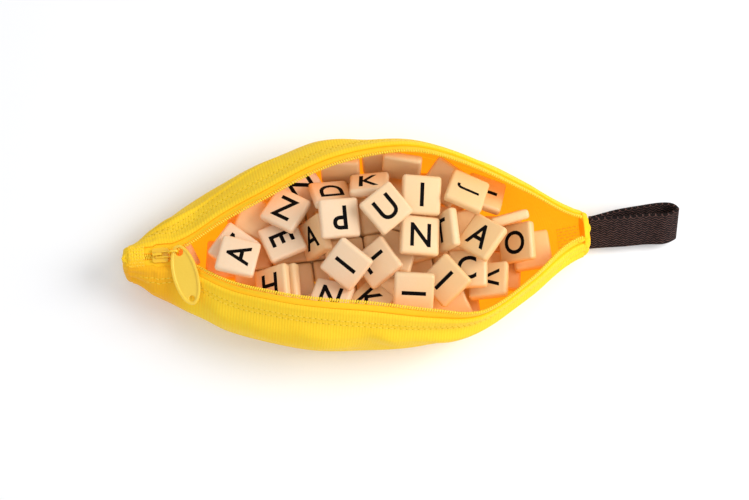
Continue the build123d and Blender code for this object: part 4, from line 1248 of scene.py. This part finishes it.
def nodeIslands(node):
    # the separate solids of a CAD node: corner points and (area, normal) of their faces
    mesh = frame["nodes"][node].data
    keys, parent = {}, []

    def find(i):
        while parent[i] != i:
            parent[i] = parent[parent[i]]
            i = parent[i]
        return i

    spots = []
    for vertex in mesh.vertices:
        key = tuple(round(c, 6) for c in vertex.co)
        if key not in keys:
            keys[key] = len(parent)
            parent.append(len(parent))
        spots.append(keys[key])
    for polygon in mesh.polygons:
        ends = [spots[i] for i in polygon.vertices]
        for end in ends[1:]:
            parent[find(end)] = find(ends[0])
    islands = {}
    for key, number in keys.items():
        islands.setdefault(find(number), [[], []])[0].append(Vector(key))
    for polygon in mesh.polygons:
        islands[find(spots[polygon.vertices[0]])][1].append((polygon.area, polygon.normal.copy()))
    return list(islands.values())


def tileAxes(points, faces, turn=None):
    # the tile's middle, right side, top side and face directions
    middle = sum(points, Vector()) / len(points)
    totals = []
    for area, normal in faces:
        for total in totals:
            if total[1].dot(normal) > 0.999:
                total[0] += area
                break
        else:
            totals.append([area, normal])
    totals.sort(key=lambda total: -total[0])
    face = next(total[1] for total in totals[:2] if total[1].z > 0)
    if turn is None:
        top = next(total[1] for total in totals[2:] if abs(total[1].dot(face)) < 0.01)
    else:
        towards = atan2(face.y, face.x)
        tipped = acos(min(face.z, 1.0))
        turned = radians(turn)
        alongLean, acrossLean = cos(turned - towards), sin(turned - towards)
        top = Vector((
            alongLean * cos(towards) * cos(tipped) - acrossLean * sin(towards),
            alongLean * sin(towards) * cos(tipped) + acrossLean * cos(towards),
            -alongLean * sin(tipped),
        ))
    return middle, top.cross(face).normalized(), top, face


def makeLetter(letter):
    deselectAll()
    bpy.ops.object.text_add()
    text = bpy.context.object
    text.data.body = letter
    text.data.align_x = "CENTER"
    text.data.align_y = "CENTER"
    text.data.size = tileSettings["letterHeight"] / 0.72
    text.data.extrude = tileSettings["inkDepth"] / 2
    text.data.resolution_u = 5
    text.data.offset = tileSettings["boldness"]
    bpy.ops.object.convert(target="MESH")
    mesh = bpy.context.object
    low = Vector([min(v.co[i] for v in mesh.data.vertices) for i in range(3)])
    high = Vector([max(v.co[i] for v in mesh.data.vertices) for i in range(3)])
    middle = (low + high) / 2
    scale = tileSettings["letterHeight"] / (high.y - low.y)
    lift = tileSettings["thickness"] / 2 + tileSettings["inkLift"]
    for vertex in mesh.data.vertices:
        shifted = vertex.co - middle
        vertex.co = Vector((shifted.x * scale * 0.94, shifted.y * scale, shifted.z + lift))
    return mesh


blankTile = makeBlankTile()
tilePieces = {}
for shortName, (letter, turn) in tileLetters.items():
    node = "tile_" + shortName
    if node not in frame["nodes"]:
        continue
    (points, faces), = nodeIslands(node)
    middle, right, top, face = tileAxes(points, faces, turn)
    placed = axesAt(middle, right, top, face)
    tile = bpy.data.objects.new("tile" + shortName.title().replace("_", ""), blankTile.data.copy())
    bpy.context.scene.collection.objects.link(tile)
    tile.data.materials.clear()
    # tiles in the list take the copy with painted shade and bounced light
    tile.data.materials.append(shadeTintedTile if shortName in shadeTintedTiles else ivoryTile)
    tile.data.materials.append(letterInk)
    if letter:
        ink = makeLetter(letter)
        ink.data.materials.clear()
        ink.data.materials.append(letterInk)
        deselectAll()
        ink.select_set(True)
        tile.select_set(True)
        bpy.context.view_layer.objects.active = tile
        bpy.ops.object.join()
    tile.data.transform(placed)
    smoothShading(tile, 50)
    body = next(name for name, nodes in frame["record"]["behaviour"]["bodies"].items() if node in nodes)
    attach(tile, body)
    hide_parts(node)
    tilePieces[node] = tile
buriedPlaces = []
for points, faces in nodeIslands("tiles_buried"):
    middle, right, top, face = tileAxes(points, faces)
    buriedPlaces.append(axesAt(middle, right, top, face))
buriedTiles = repeated("tilesBuried", blankTile, buriedPlaces)
# the buried tiles take the copy with painted shade and bounced light
finishPiece(buriedTiles, shadeTintedTile, "tile", "pouch", "tiles_buried")
print("tiles made:", len(tilePieces), "on top and", len(buriedPlaces), "buried")

# ------ floor and light
studio = {
    "floorColour": (0.93, 0.93, 0.935, 1), "floorGlow": 0.055, "worldLevel": 0.66,
    "worldColour": (0.97, 0.98, 1.0, 1),
    "keyPlace": (0.78, 0.02, 0.70), "keySize": 0.6, "keyPower": 7.6,
    "fillPlace": (-0.1, -0.8, 1.1), "fillSize": 0.9, "fillPower": 2.0,
}
deselectAll()
bpy.ops.mesh.primitive_plane_add(size=8, location=(0, 0, 0))
floor = bpy.context.object
floor.name = "paleFloor"
floorMaterial, tree, shader, coordinates = startMaterial("paleFloor", 0.9)
shader.inputs["Base Color"].default_value = studio["floorColour"]
shader.inputs["Specular IOR Level"].default_value = 0.0
lightPath = tree.nodes.new("ShaderNodeLightPath")
seen = calc(tree, "MAXIMUM", lightPath.outputs["Is Camera Ray"], lightPath.outputs["Is Glossy Ray"])
seen = calc(tree, "MAXIMUM", seen, lightPath.outputs["Is Transmission Ray"])
shader.inputs["Emission Color"].default_value = (1, 1, 1, 1)
tree.links.new(calc(tree, "MULTIPLY", seen, studio["floorGlow"]), shader.inputs["Emission Strength"])
floor.data.materials.append(floorMaterial)

world = bpy.data.worlds.new("studioWorld")
bpy.context.scene.world = world
world.use_nodes = True
tree = world.node_tree
tree.nodes.clear()
output = tree.nodes.new("ShaderNodeOutputWorld")
soft = tree.nodes.new("ShaderNodeBackground")
soft.inputs[0].default_value = studio["worldColour"]
soft.inputs[1].default_value = studio["worldLevel"]
white = tree.nodes.new("ShaderNodeBackground")
white.inputs[0].default_value = (1, 1, 1, 1)
white.inputs[1].default_value = 1.0
lightPath = tree.nodes.new("ShaderNodeLightPath")
seen = calc(tree, "MAXIMUM", lightPath.outputs["Is Camera Ray"], lightPath.outputs["Is Glossy Ray"])
seen = calc(tree, "MAXIMUM", seen, lightPath.outputs["Is Transmission Ray"])
choose = tree.nodes.new("ShaderNodeMixShader")
tree.links.new(seen, choose.inputs[0])
tree.links.new(soft.outputs[0], choose.inputs[1])
tree.links.new(white.outputs[0], choose.inputs[2])
tree.links.new(choose.outputs[0], output.inputs[0])


def addLamp(name, place, size, power, colour=(1, 1, 1)):
    deselectAll()
    bpy.ops.object.light_add(type="AREA", location=place)
    lamp = bpy.context.object
    lamp.name = name
    lamp.data.size = size
    lamp.data.energy = power
    lamp.data.color = colour
    lamp.rotation_euler = (-Vector(place)).to_track_quat("-Z", "Y").to_euler()


addLamp("keyLight", studio["keyPlace"], studio["keySize"], studio["keyPower"])
addLamp("fillLight", studio["fillPlace"], studio["fillSize"], studio["fillPower"])
print("floor and light placed")
